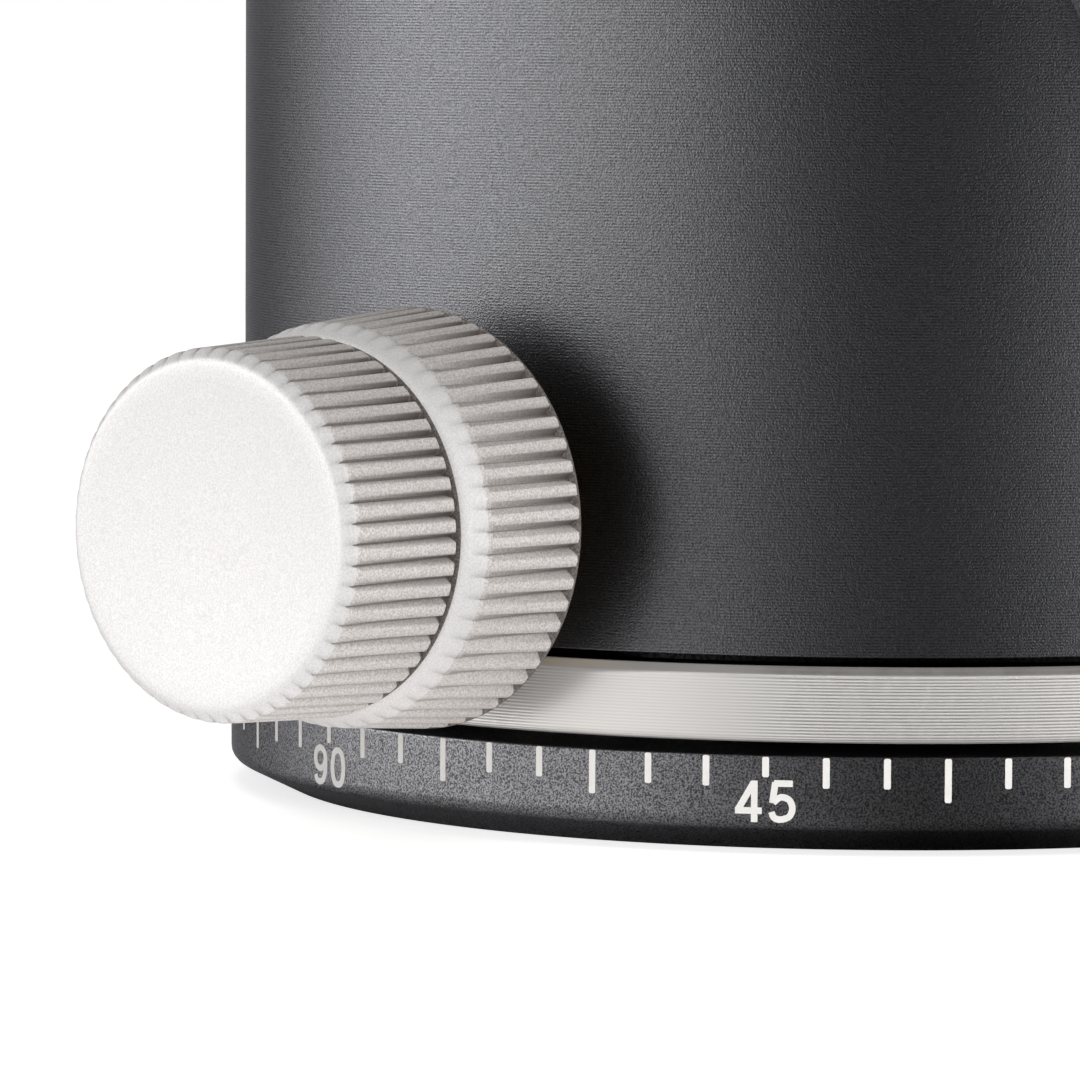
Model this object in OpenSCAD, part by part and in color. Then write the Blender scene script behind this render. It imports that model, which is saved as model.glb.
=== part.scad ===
// Tripod ball head: panning foot, ball housing, two concentric lock-and-drag controls,
// ball with neck, and a quick-release clamp for a 38 mm dovetail plate.
// Origin: centre of the tripod thread's mouth on the underside. +Z is up.
// The pan control points along -X and the ball control along -Y.

/* [Foot] */
// How far the foot stands out from the barrel
foot_reach = 0.65; // [0.2:0.05:3]
// Height of the foot's wall
foot_h = 4.35; // [4:0.05:6]
// Height of the bevel round the underside
foot_bevel_h = 1.3; // [0.5:0.1:2]
// Width of the bevel round the underside
foot_bevel_w = 2.7; // [1:0.1:4]
// Radius of the tripod thread (3/8 inch)
thread_r = 4.8; // [4.8:0.05:5]
// Depth of the tripod thread
thread_depth = 10.5; // [8:0.5:11]
// Outer radius of the tripod bushing
bushing_r = 8; // [7:0.5:8.5]

/* [Index ring] */
// Gap between the foot and the ring
ring_gap = 0.55; // [0.3:0.05:1]
// Height of the ring's bright wall
ring_h = 3.28; // [3:0.02:4]
// How far the ring stands back from the foot
ring_inset = 0.1; // [0:0.05:0.5]
// Bevel on the ring's top edge
ring_bevel = 0.3; // [0.1:0.05:0.6]
// Height of the dark groove over the ring
groove_h = 0.37; // [0.2:0.01:0.8]
// Depth of the dark groove over the ring
groove_depth = 1.3; // [0.8:0.1:2]
// Direction of the index mark, measured from -Y towards -X
index_angle = 17.24; // [0:0.01:60]

/* [Pan spindle] */
// Radius of the retaining thread
nut_thread_r = 9; // [8.5:0.1:9.5]
// Step from the retaining thread to the hub
hub_step = 2; // [1.5:0.1:2.5]
// Step from the hub to the journal that the carrier turns on
journal_step = 6; // [5.5:0.1:6.5]
// Step from the journal to the bottom flange
flange_step = 3.5; // [3:0.1:4]
// Thickness of the thrust washer on the bottom flange
thrust_washer_h = 0.77; // [0.5:0.01:1]
// Depth of the brake groove
brake_groove_depth = 1.2; // [0.8:0.1:1.4]
// Length of the carrier's lower bore
bearing_h = 11.05; // [10.5:0.05:12]
// Thickness of the carrier's web
web_h = 3; // [2.5:0.1:4]
// Thickness of the retaining washer
washer_h = 1.5; // [1:0.1:2]
// Height of the retaining nut
nut_h = 4; // [3:0.1:5]

/* [Housing] */
// Wall of the barrel
barrel_wall = 5.45; // [5:0.05:7]
// Gap between the ball and the barrel's bore
bore_clear = 1.9; // [1.7:0.05:2.5]
// Height of the barrel's rim above the ball's centre
rim_rise = 8.5; // [8:0.1:9]
// Bevel round the barrel's rim
rim_bevel = 1.5; // [0.5:0.1:2]
// Thickness of the lip that holds the upper seat
lip_h = 1.2; // [1:0.1:1.4]
// How much smaller than the ball the lip's opening is, in radius
lip_under = 0.8; // [0.6:0.01:0.85]
// Gap round the neck in the two drop notches
neck_clear = 1; // [0.7:0.1:1.7]
// Radius of the boss under the ball control
boss_r = 18.7; // [17.5:0.1:20]
// How far the boss stands out from the barrel
boss_reach = 2.25; // [1.5:0.05:3]
// Bevel round the boss
boss_bevel = 0.6; // [0.3:0.1:1]

/* [Ball] */
// Radius of the ball
ball_r = 22; // [20.5:0.5:24]
// Radius of the neck
neck_r = 8.3; // [7:0.1:8.5]
// Gap between the barrel and the top flange when the neck is dropped
flange_gap = 1.65; // [1.5:0.05:5]
// Radius of the top flange
flange_r = 13; // [12:0.5:16]
// Thickness of the top flange
flange_h = 3; // [2:0.5:5]

/* [Seats] */
// Thickness of the cup's floor
cup_floor_h = 5.3; // [4:0.1:8]
// Height of the cup's rim below the ball's centre
cup_drop = 8.5; // [8:0.1:10]
// Radius of the recess in the cup
cup_recess_r = 14.5; // [13:0.1:15]
// Depth of the cup's V groove
cup_groove_depth = 4.05; // [3.8:0.05:4.4]
// Half the height at the bottom of the cup's V groove
cup_groove_half = 1.6; // [1.4:0.1:1.8]
// Height of the disc spring under the cup
cup_spring_h = 1.5; // [1.2:0.1:2]
// Thickness of the disc spring
cup_spring_t = 0.57; // [0.4:0.01:0.7]
// Thickness of the upper seat liners
liner_t = 1.5; // [1.3:0.05:1.5]

/* [Pan control] */
// Height of the control's axis above the barrel's lower edge
pan_rise = 5.68; // [5.6:0.02:6]
// Radius of the hollow lock screw (M6)
pan_screw_r = 3; // [2.9:0.05:3.1]
// Radius of the drag screw (M3)
pan_drag_screw_r = 1.45; // [1.4:0.05:1.5]
// Radius of the bushing's collar
pan_collar_r = 4.9; // [4.7:0.05:5]
// Length of the collar outside its spot face
pan_collar_len = 4; // [3:0.1:4.2]
// Gap between the barrel and the rear knob
pan_knob_gap = 3.74; // [3.4:0.02:5]
// Length of the rear knob
pan_knob_len = 6.86; // [6:0.02:8]
// Radius of the rear knob at its back
pan_knob_back_r = 9.13; // [8.8:0.01:9.6]
// How much the rear knob's band narrows towards its front, in radius
pan_knob_taper = 0.44; // [0:0.01:0.5]
// Length of the smooth shoulder on the rear knob
pan_shoulder_len = 1.08; // [0.8:0.01:1.4]
// Drop of the smooth shoulder on the rear knob
pan_shoulder_drop = 0.56; // [0.5:0.01:0.8]
// Length of the front knob
pan_drag_knob_len = 6.65; // [6:0.01:8]
// Radius of the front knob at its back
pan_drag_back_r = 8.16; // [8:0.01:8.4]
// How much the front knob's band narrows towards its front, in radius
pan_drag_taper = 0.26; // [0:0.01:0.5]
// Bevel round the front knob's face
pan_face_bevel = 0.47; // [0.42:0.01:0.6]
// Number of grooves round each knob of the pan control
pan_grooves = 56; // [48:2:60]

/* [Ball control] */
// Drop of the control's axis below the ball's centre
lock_drop = 17.4; // [17:0.1:18]
// Radius of the hollow lock screw (M12)
lock_screw_r = 6; // [5.5:0.1:6.5]
// Radius of the drag screw (M6)
lock_drag_screw_r = 3; // [2.5:0.1:3.2]
// Outer radius of the lock bushing
lock_bushing_r = 9; // [8:0.1:10]
// Radius of the lock bushing's flange
lock_flange_r = 11.5; // [10.5:0.1:13]
// Thickness of the lock bushing's flange
lock_flange_h = 1; // [0.8:0.1:1.5]
// Gap between the flange and the rear knob
lock_knob_gap = 0.8; // [0.5:0.1:1.5]
// Length of the rear knob
lock_knob_len = 11.8; // [10:0.1:14]
// Radius of the rear knob at its back
lock_knob_back_r = 19; // [17.5:0.1:20]
// How much the rear knob's band narrows towards its front, in radius
lock_knob_taper = 0.7; // [0:0.1:0.7]
// Length of the smooth shoulder on the rear knob
lock_shoulder_len = 1.8; // [1.4:0.1:2.4]
// Drop of the smooth shoulder on the rear knob
lock_shoulder_drop = 1; // [0.8:0.1:1.2]
// Length of the front knob
lock_drag_knob_len = 10.2; // [9:0.1:12]
// Radius of the front knob at its back
lock_drag_back_r = 17.2; // [16:0.1:17.4]
// How much the front knob's band narrows towards its front, in radius
lock_drag_taper = 0.5; // [0:0.1:0.7]
// Bevel round the front knob's face
lock_face_bevel = 0.8; // [0.7:0.05:1.2]
// Number of grooves round each knob of the ball control
lock_grooves = 84; // [72:2:96]

/* [Knurl] */
// Depth of the knurl grooves
knurl_depth = 0.4; // [0.2:0.05:0.45]
// Share of the pitch that a groove takes at the crest
knurl_share = 0.42; // [0.3:0.02:0.6]
// Gap between a front knob and the rear knob behind it
knob_gap = 0.3; // [0.2:0.05:0.6]
// Depth of the dish in a knob's face, as a share of its radius
dish_share = 0.07; // [0.03:0.01:0.1]

/* [Clamp] */
// Length of the clamp along the channel
clamp_len = 60; // [56:1:70]
// Height of the clamp's floor above the top flange
deck_rise = 9.5; // [9.5:0.1:12]
// Height of the jaws above the floor
jaw_h = 5.5; // [5:0.1:7]
// Width of the dovetail plate that the clamp takes
plate_w = 38; // [37:0.1:40]
// Depth of the 45 degree undercut
undercut = 3.5; // [2.5:0.1:4]
// Width of the moving jaw over its undercut
moving_jaw_w = 12.4; // [11:0.1:15]
// Corner radius of the clamp
corner_r = 4; // [1:0.5:5]
// Bevel along the clamp's edges
clamp_bevel = 0.8; // [0.4:0.1:0.8]
// Distance of each guide pin from the clamp's end
pin_inset = 10; // [7:0.5:11]
// Radius of the guide pins
pin_r = 2; // [1.5:0.1:2.2]
// Distance of each opening spring from the middle
spring_x = 11; // [10:0.5:13]
// Radius of the clamp's screws (M6)
clamp_screw_r = 3; // [2.5:0.1:3.2]
// Length of the clamp's knob
clamp_knob_len = 12; // [10:0.5:16]
// Radius of the clamp's knob
clamp_knob_r = 9.8; // [9:0.1:11]
// Number of grooves round the clamp's knob
clamp_grooves = 60; // [48:2:64]
// Radius of the bullseye level
level_r = 4.6; // [4:0.1:4.7]
// Height of the bullseye level
level_h = 4.6; // [4:0.1:5]
// Metal between the level and the clamp's outer side
level_margin = 0.8; // [0.8:0.1:3]
// Distance of the level from the clamp's end
level_inset = 10; // [7:0.5:20]

/* [Fits] */
// Gap of a seat that doesn't move
seat_fit = 0.02; // [0.01:0.01:0.04]
// Gap of a running fit
run_fit = 0.05; // [0.03:0.01:0.08]

/* [Hidden] */
$fn = 96;
eps = 0.01;
over = 1;

// Radii of the spindle, from the inside out
hub_r = nut_thread_r + hub_step;
journal_r = hub_r + journal_step;
spindle_flange_r = journal_r + flange_step;

// Radii of the housing, the foot and the ring, from the ball out
bore_r = ball_r + bore_clear;
barrel_r = bore_r + barrel_wall;
foot_r = barrel_r + foot_reach;
ring_r = foot_r - ring_inset;
lip_r = ball_r - lip_under;
notch_r = neck_r + neck_clear;
flange_rise = barrel_r + flange_gap;

// Gaps and steps between neighbours
disc_gap = 0.03;
thread_stub = 0.6;
nut_clear = 1.85;
ball_floor_gap = 1.2;
ring_clear = 0.7;

// Heights up the head
ring_z = foot_h + ring_gap;
ring_top = ring_z + ring_h;
barrel_z = ring_top + groove_h;
pan_z = barrel_z + pan_rise;
thrust_washer_top = barrel_z - disc_gap;
spindle_flange_top = thrust_washer_top - thrust_washer_h;
web_z = barrel_z + bearing_h;
web_top = web_z + web_h;
hub_top = web_top + run_fit;
washer_top = hub_top + washer_h;
nut_top = washer_top + nut_h;
spindle_top = nut_top + thread_stub;
carrier_top = nut_top + nut_clear;
cup_z = carrier_top + cup_spring_h;
cup_floor = cup_z + cup_floor_h;
ball_z = cup_floor + ball_floor_gap + ball_r;
cup_top = ball_z - cup_drop;
lock_z = ball_z - lock_drop;
rim_z = ball_z + rim_rise;
flange_z = ball_z + flange_rise;
clamp_z = flange_z + flange_h;
deck_z = clamp_z + deck_rise;
clamp_top = deck_z + jaw_h;
clamp_axis_z = clamp_z + deck_rise / 2;

// Foot and ring
bushing_floor = 1;
bushing_h = thread_depth + bushing_floor;
spanner_hole_r = 0.7;
spanner_hole_depth = 2;
foot_edge = 0.15;
ring_bore = spindle_flange_r + ring_clear;
ring_lower_bevel = 0.15;
index_mark_w = 0.3;
ring_screw_circle = (bore_r + barrel_r) / 2;
ring_screw_r = 1.25;
ring_screw_head_r = 2.2;
ring_screw_depth = 4;
ring_screw_sink = 0.08;
ring_screw_cone = 1.1;
ring_screw_socket = 1.5;
ring_screw_socket_depth = 0.8;
ring_screw_room = 0.5;
ring_screws_n = 4;
ring_screws_turn = 45;
foot_screw_r = 2;
foot_screw_head_r = 4;
foot_screw_len = 11;
foot_screw_sink = 0.15;
foot_screw_cone = 2;
foot_screw_socket = 2.5;
foot_screw_socket_depth = 1.4;
foot_screw_room = 1;
foot_screw_wall = 1;
foot_screw_circle = bushing_r + foot_screw_wall + foot_screw_head_r;
foot_screws_n = 3;
foot_screws_turn = 30;
relief_w = 5;
relief_out_r = foot_r - 1.3 * relief_w;
relief_in_r = relief_out_r - relief_w;
relief_depth = 0.5;

// Washers, nut and disc spring
thrust_washer_inset = 0.2;
thrust_washer_clear = 0.1;
washer_over = 4;
nut_over = 2;
nut_slots_n = 4;
nut_slot_w = 3;
nut_slot_floor = 1;
cup_spring_inset = 1.2;
cup_spring_outset = 1.1;

// Brake groove in the spindle, and the shoe's cone that enters it
brake_slope = 1;
shoe_tip_r = pan_screw_r - brake_groove_depth * brake_slope;
shoe_clear = 0.3;
groove_side = 0.4;

// Bevels of the barrel and its openings
barrel_edge = 0.2;
notch_bevel_sink = 0.25;
notch_flare = 0.8;
notch_flare_len = 2;
lip_bevel = 0.5;

// Seats of the ball
shell_r = ball_r + run_fit + liner_t + seat_fit;
seat_r = ball_r + run_fit;
liner_gap = 0.3;
cup_r = bore_r - run_fit;
cup_groove_r = cup_r - cup_groove_depth;

// Neck of the ball
neck_flare_h = 2;
neck_flare_slope = 0.85;
ball_flange_bevel = 0.4;

// Knobs: edge at the back, metal left in front of each screw, end gap of each screw
rear_edge = 0.35;
front_edge = 0.3;
rear_cap = 1.4;
front_cap = 2;
screw_end_gap = 0.1;
drag_clear = 0.25;
crest_over = 0.8;
groove_most = 0.47;
small_bevel = 0.2;

// Drag springs between the plunger's head and the spring seat
plunger_head_h = 1.8;
spring_turns = 6;
spring_end_gap = 0.03;

// Pan control, distances from the head's axis
pan_shoe_tip = journal_r - brake_groove_depth + shoe_clear;
pan_screw_stand = 3.65;
pan_screw_tip = journal_r + pan_screw_stand;
pan_bushing_stand = 2.5;
pan_bushing_tip = journal_r + pan_bushing_stand;
pan_spot_depth = 0.95;
pan_spot = barrel_r - pan_spot_depth;
pan_collar_end = pan_spot + pan_collar_len;
pan_knob_back = barrel_r + pan_knob_gap;
pan_knob_front = pan_knob_back + pan_knob_len;
pan_drag_back = pan_knob_front + knob_gap;
pan_drag_front = pan_drag_back + pan_drag_knob_len;
pan_knob_front_r = pan_knob_back_r - pan_knob_taper;
pan_drag_front_r = pan_drag_back_r - pan_drag_taper;
pan_collar_step = 0.5;
pan_bushing_r = pan_collar_r - pan_collar_step;
pan_plunger_r = 0.9;
pan_spring_room = 8.3;
pan_drag_tip = pan_screw_tip + pan_spring_room;
pan_seat_h = 0.8;
pan_spring_wire_r = 0.2;
pan_spring_clear = 0.05;

// Ball control, distances from the head's axis
boss_t = barrel_r + boss_reach;
lock_tip_clear = 0.4;
lock_tip = cup_groove_r + lock_tip_clear;
lock_cone_len = lock_screw_r - cup_groove_half;
lock_screw_stand = 2.7;
lock_screw_tip = bore_r + lock_screw_stand;
lock_bushing_stand = 0.6;
lock_bushing_tip = bore_r + lock_bushing_stand;
lock_screw_clear = 0.3;
lock_flange_end = boss_t + lock_flange_h;
lock_knob_back = lock_flange_end + lock_knob_gap;
lock_knob_front = lock_knob_back + lock_knob_len;
lock_drag_back = lock_knob_front + knob_gap;
lock_drag_front = lock_drag_back + lock_drag_knob_len;
lock_knob_front_r = lock_knob_back_r - lock_knob_taper;
lock_drag_front_r = lock_drag_back_r - lock_drag_taper;
lock_plunger_r = 1.9;
lock_plunger_step = 2;
lock_plunger_step_gap = 0.1;
lock_spring_room = 11.4;
lock_drag_tip = lock_screw_tip + lock_spring_room;
lock_seat_h = 1;
lock_spring_wire_r = 0.4;
lock_spring_clear = 0.1;

// Clamp
plate_clear = 0.1;
channel_half = plate_w / 2 + plate_clear;
jaw_edge = channel_half - undercut;
jaw_gap = 0.6;
base_edge = jaw_edge - jaw_gap;
level_gap = 0.9;
level_y = channel_half + level_gap + level_r;
fixed_side = level_y + level_r + level_margin;
moving_side = jaw_edge + moving_jaw_w;
undercut_land = 0.6;
jaw_lip = 0.4;
jaw_foot_gap = 0.1;
floor_relief = 0.4;
floor_relief_gap = 0.3;
fixing_head_r = 5;
fixing_head_h = 4;
fixing_pocket = 5;
fixing_socket = 5;
fixing_socket_depth = 2.6;
fixing_clear = 0.25;
fixing_len = 11;
fixing_room = 2;
screw_wall = 1.5;
screw_end = fixing_head_r + screw_wall;
screw_end_room = 0.6;
screw_clear = 0.2;
clamp_screw_room = 1.1;
clamp_knob_taper = 0.3;
clamp_face_bevel = 0.5;
clamp_washer_inset = 2.4;
knob_washer_h = 1;
knob_back_y = moving_side + knob_washer_h + run_fit;
spring_pocket_r = 2.2;
spring_base_depth = 7;
spring_jaw_depth = 3;
jaw_spring_wire_r = 0.25;
jaw_spring_clear = 0.15;
jaw_spring_turns = 7;
pin_x = clamp_len / 2 - pin_inset;
pin_base_depth = 8;
pin_short = 2;
pin_tip = moving_side - pin_short;
pin_room = 0.8;
level_x = clamp_len / 2 - level_inset;
level_wall = 0.7;
level_floor = 0.8;
level_lens_h = 1;
level_sink = 0.1;
bubble_r = 1.3;

// Colours
black_metal = [0.16, 0.16, 0.17];
silver_metal = [0.80, 0.78, 0.76];
steel = [0.62, 0.63, 0.65];
brass = [0.78, 0.63, 0.32];
acetal = [0.90, 0.89, 0.85];
dark_ball = [0.24, 0.24, 0.26];

// ---------- shared shapes ----------

// Puts a shape drawn along +Z on the pan control's axis, pointing outwards
module on_pan_axis() {
  translate([0, 0, pan_z]) rotate([0, -90, 0]) children();
}

// Puts a shape drawn along +Z on the ball control's axis, pointing outwards
module on_lock_axis() {
  translate([0, 0, lock_z]) rotate([90, 0, 0]) children();
}

// Puts a shape drawn along +Z on the clamp screw's axis, pointing outwards
module on_clamp_axis() {
  translate([0, 0, clamp_axis_z]) rotate([90, 0, 0]) children();
}

// A cylinder between two heights
module rod(r, from, to) {
  translate([0, 0, from]) cylinder(r = r, h = to - from);
}

// A cylinder between two heights, with a bevel at each end
module bevelled_rod(r, from, to, bevel = front_edge) {
  rotate_extrude() polygon([
    [0, from], [r - bevel, from], [r, from + bevel],
    [r, to - bevel], [r - bevel, to], [0, to]
  ]);
}

// A tube between two heights
module tube(r, bore, from, to) {
  difference() {
    rod(r, from, to);
    rod(bore, from - over, to + over);
  }
}

// Copies a shape round the vertical axis
module around(count, radius, first = 0) {
  for (i = [0 : count - 1])
    rotate([0, 0, first + 360 * i / count]) translate([radius, 0, 0]) children();
}

// Outline with V grooves cut into it; the crests lie outside every crest radius up to crest_r
function knurl_outline(count, crest_r) =
  let (
    pitch = 360 / count,
    root_r = crest_r - knurl_depth,
    outer_r = crest_r + crest_over,
    half = pitch * knurl_share / 2 * (outer_r - root_r) / knurl_depth,
    corner = min(half, pitch * groove_most)
  )
  [for (i = [0 : count - 1], p = [[root_r, 0], [outer_r, corner], [outer_r, pitch - corner]])
    p[0] * [cos(pitch * i + p[1]), sin(pitch * i + p[1])]];

// Straight V knurl over a knob that narrows from back_r to front_r
module knurl_cut(count, back_r, front_r, from, to) {
  intersection() {
    children();
    translate([0, 0, from - over])
      linear_extrude(height = to - from + 2 * over)
        polygon(knurl_outline(count, (back_r + front_r) / 2));
  }
}

// Rear knob of a control: knurled band, smooth shoulder at the front, bore for its screw
module rear_knob(from, len, back_r, front_r, shoulder_len, shoulder_drop, screw_r, drag_r, count) {
  to = from + len;
  band_end = to - shoulder_len;
  difference() {
    knurl_cut(count, back_r, front_r, from, to)
      rotate_extrude() polygon([
        [0, from], [back_r - rear_edge, from], [back_r, from + rear_edge], [front_r, band_end],
        [front_r - shoulder_drop, to], [0, to]
      ]);
    rod(screw_r + seat_fit, from - over, to - rear_cap);
    rod(drag_r + drag_clear, from - over, to + over);
  }
}

// Front knob of a control: knurled band, bevelled and dished face, blind bore for its screw
module front_knob(from, len, back_r, front_r, bevel, drag_r, count) {
  to = from + len;
  face_r = front_r - bevel;
  dish_r = face_r - bevel;
  dish_depth = dish_share * dish_r;
  ball = (dish_r * dish_r + dish_depth * dish_depth) / (2 * dish_depth);
  difference() {
    knurl_cut(count, back_r, front_r, from, to)
      rotate_extrude() polygon([
        [0, from], [back_r - front_edge, from], [back_r, from + front_edge],
        [front_r, to - bevel], [face_r, to], [0, to]
      ]);
    translate([0, 0, to + ball - dish_depth]) sphere(r = ball, $fn = 200);
    rod(drag_r + seat_fit, from - over, to - front_cap);
  }
}

// Screw with a bore right through it
module hollow_screw(r, bore, from, to) {
  difference() {
    bevelled_rod(r, from, to);
    rod(bore, from - over, to + over);
  }
}

// Headed pin: a thin pin that passes through the part in front, and a head behind it
module headed_pin(pin, head, from, seat, to) {
  bevelled_rod(pin, from, seat + eps, small_bevel);
  rod(head, seat, to);
}

// Coil of round wire between two heights
module coil(mean_r, wire_r, from, to, turns, sides = 6, steps = 12) {
  rings = turns * steps;
  rise = to - from - 2 * wire_r;
  points = [
    for (k = [0 : rings], j = [0 : sides - 1])
      let (a = 360 * k / steps, b = 360 * j / sides, r = mean_r + wire_r * cos(b))
        [r * cos(a), r * sin(a), from + wire_r + rise * k / rings + wire_r * sin(b)]
  ];
  walls = [
    for (k = [0 : rings - 1], j = [0 : sides - 1])
      let (n = (j + 1) % sides)
        [k * sides + j, (k + 1) * sides + j, (k + 1) * sides + n, k * sides + n]
  ];
  ends = [[for (j = [0 : sides - 1]) j], [for (j = [sides - 1 : -1 : 0]) rings * sides + j]];
  polyhedron(points = points, faces = concat(walls, ends), convexity = 10);
}

// Hexagon socket in a screw head, from the head's top downwards
module hex_socket(across, top, depth) {
  translate([0, 0, top - depth]) cylinder(r = across / sqrt(3), h = depth + over, $fn = 6);
}

// ---------- foot ----------

module foot_screw_hole() {
  rod(foot_screw_r + seat_fit, -over, foot_h + over);
  rod(foot_screw_head_r + seat_fit, -over, foot_screw_sink);
  translate([0, 0, foot_screw_sink]) cylinder(
    r1 = foot_screw_head_r + seat_fit, r2 = foot_screw_r + seat_fit, h = foot_screw_cone
  );
}

module base_plate() {
  color(black_metal) difference() {
    rotate_extrude() polygon([
      [bushing_r + seat_fit, 0], [foot_r - foot_bevel_w, 0], [foot_r, foot_bevel_h],
      [foot_r, foot_h - foot_edge], [foot_r - foot_edge, foot_h], [bushing_r + seat_fit, foot_h]
    ]);
    around(foot_screws_n, foot_screw_circle, foot_screws_turn) foot_screw_hole();
    tube(relief_out_r, relief_in_r, -over, relief_depth);
  }
}

module tripod_bushing() {
  color(steel) difference() {
    rod(bushing_r, 0, bushing_h);
    rod(thread_r, -over, thread_depth);
    around(2, (thread_r + bushing_r) / 2) rod(spanner_hole_r, -over, spanner_hole_depth);
  }
}

module spindle() {
  groove_bottom = journal_r - brake_groove_depth;
  half_low = shoe_tip_r + groove_side;
  half_high = half_low + brake_groove_depth * brake_slope;
  inner_r = bushing_r + seat_fit;
  inner_top = bushing_h + seat_fit;
  bevel = 0.5;
  color(steel) difference() {
    rotate_extrude() polygon([
      [inner_r, foot_h], [spindle_flange_r, foot_h], [spindle_flange_r, spindle_flange_top],
      [journal_r, spindle_flange_top],
      [journal_r, pan_z - half_high], [groove_bottom, pan_z - half_low],
      [groove_bottom, pan_z + half_low], [journal_r, pan_z + half_high],
      [journal_r, web_z - run_fit], [hub_r, web_z - run_fit], [hub_r, hub_top],
      [nut_thread_r, hub_top], [nut_thread_r, spindle_top - bevel],
      [nut_thread_r - bevel, spindle_top], [0, spindle_top], [0, inner_top], [inner_r, inner_top]
    ]);
    around(foot_screws_n, foot_screw_circle, foot_screws_turn) rod(
      foot_screw_r + seat_fit, foot_h - over, foot_screw_sink + foot_screw_len + foot_screw_room
    );
  }
}

module spindle_screws() {
  color(steel) around(foot_screws_n, foot_screw_circle, foot_screws_turn)
    translate([0, 0, foot_screw_sink]) difference() {
      union() {
        cylinder(r1 = foot_screw_head_r, r2 = foot_screw_r, h = foot_screw_cone);
        rod(foot_screw_r, foot_screw_cone - eps, foot_screw_len);
      }
      mirror([0, 0, 1]) hex_socket(foot_screw_socket, 0, foot_screw_socket_depth);
    }
}

module thrust_washer() {
  color(acetal) tube(
    spindle_flange_r - thrust_washer_inset, journal_r + thrust_washer_clear,
    spindle_flange_top, thrust_washer_top
  );
}

module retaining_washer() {
  color(steel) tube(hub_r + washer_over, nut_thread_r + seat_fit, hub_top, washer_top);
}

module retaining_nut() {
  color(steel) difference() {
    tube(hub_r + nut_over, nut_thread_r + seat_fit, washer_top, nut_top);
    around(nut_slots_n, hub_r + nut_over)
      translate([-nut_slot_w / 2, -nut_slot_w / 2, washer_top + nut_slot_floor])
        cube([nut_slot_w, nut_slot_w, nut_h]);
  }
}

// ---------- housing ----------

// Clear way for the neck at a quarter turn of tilt, to one side of the ball
module drop_notch(half) {
  translate([0, 0, ball_z]) {
    rotate([0, 90, 0]) cylinder(r = half, h = barrel_r + over);
    translate([0, -half, 0]) cube([barrel_r + over, 2 * half, rim_rise + over]);
  }
}

module both_notches(half) {
  drop_notch(half);
  mirror([1, 0, 0]) drop_notch(half);
}

// Bevel along the outer edge of the notch on the +X side
module notch_bevel() {
  start = sqrt(barrel_r * barrel_r - notch_r * notch_r) - notch_bevel_sink;
  wide = notch_r + notch_flare;
  translate([start, 0, ball_z]) {
    rotate([0, 90, 0]) cylinder(r1 = notch_r, r2 = wide, h = notch_flare_len);
    linear_extrude(height = rim_rise + over) polygon([
      [0, -notch_r], [notch_flare_len, -wide], [notch_flare_len, wide], [0, notch_r]
    ]);
  }
}

module housing() {
  color(black_metal) difference() {
    union() {
      rotate_extrude() polygon([
        [0, barrel_z], [barrel_r - barrel_edge, barrel_z], [barrel_r, barrel_z + barrel_edge],
        [barrel_r, rim_z - rim_bevel], [barrel_r - rim_bevel, rim_z], [0, rim_z]
      ]);
      on_lock_axis() rotate_extrude() polygon([
        [0, 0], [boss_r, 0], [boss_r, boss_t - boss_bevel], [boss_r - boss_bevel, boss_t],
        [0, boss_t]
      ]);
    }
    rod(bore_r, barrel_z - over, ball_z);
    intersection() {
      translate([0, 0, ball_z]) sphere(r = shell_r, $fn = 200);
      rod(bore_r, ball_z - eps, rim_z - lip_h);
    }
    rod(lip_r, ball_z, rim_z + over);
    translate([0, 0, rim_z - lip_bevel])
      cylinder(r1 = lip_r, r2 = lip_r + lip_bevel + over, h = lip_bevel + over);
    both_notches(notch_r);
    notch_bevel();
    mirror([1, 0, 0]) notch_bevel();
    on_pan_axis() rod(pan_bushing_r + seat_fit, journal_r, barrel_r + over);
    on_pan_axis() rod(pan_collar_r + seat_fit, pan_spot, barrel_r + over);
    on_lock_axis() rod(lock_screw_r + lock_screw_clear, bore_r - over, boss_t);
    on_lock_axis() rod(lock_bushing_r + seat_fit, lock_bushing_tip, boss_t + over);
    around(ring_screws_n, ring_screw_circle, ring_screws_turn) rod(
      ring_screw_r + seat_fit, barrel_z - over, barrel_z + ring_screw_depth + ring_screw_room
    );
  }
}

module index_ring() {
  shelf_r = barrel_r - groove_depth;
  color(silver_metal) difference() {
    rotate_extrude() polygon([
      [ring_bore, ring_z], [ring_r - ring_lower_bevel, ring_z],
      [ring_r, ring_z + ring_lower_bevel], [ring_r, ring_top - ring_bevel],
      [ring_r - ring_bevel, ring_top], [shelf_r, ring_top], [shelf_r, barrel_z],
      [ring_bore, barrel_z]
    ]);
    around(ring_screws_n, ring_screw_circle, ring_screws_turn) {
      rod(ring_screw_r + seat_fit, ring_z - over, barrel_z + over);
      rod(ring_screw_head_r + seat_fit, ring_z - over, ring_z + ring_screw_sink);
      translate([0, 0, ring_z + ring_screw_sink]) cylinder(
        r1 = ring_screw_head_r + seat_fit, r2 = ring_screw_r + seat_fit, h = ring_screw_cone
      );
    }
    rotate([0, 0, -90 - index_angle]) translate([ring_r, 0, ring_z - over])
      rotate([0, 0, 45]) cube([index_mark_w, index_mark_w, ring_h + 2 * over]);
  }
}

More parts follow.
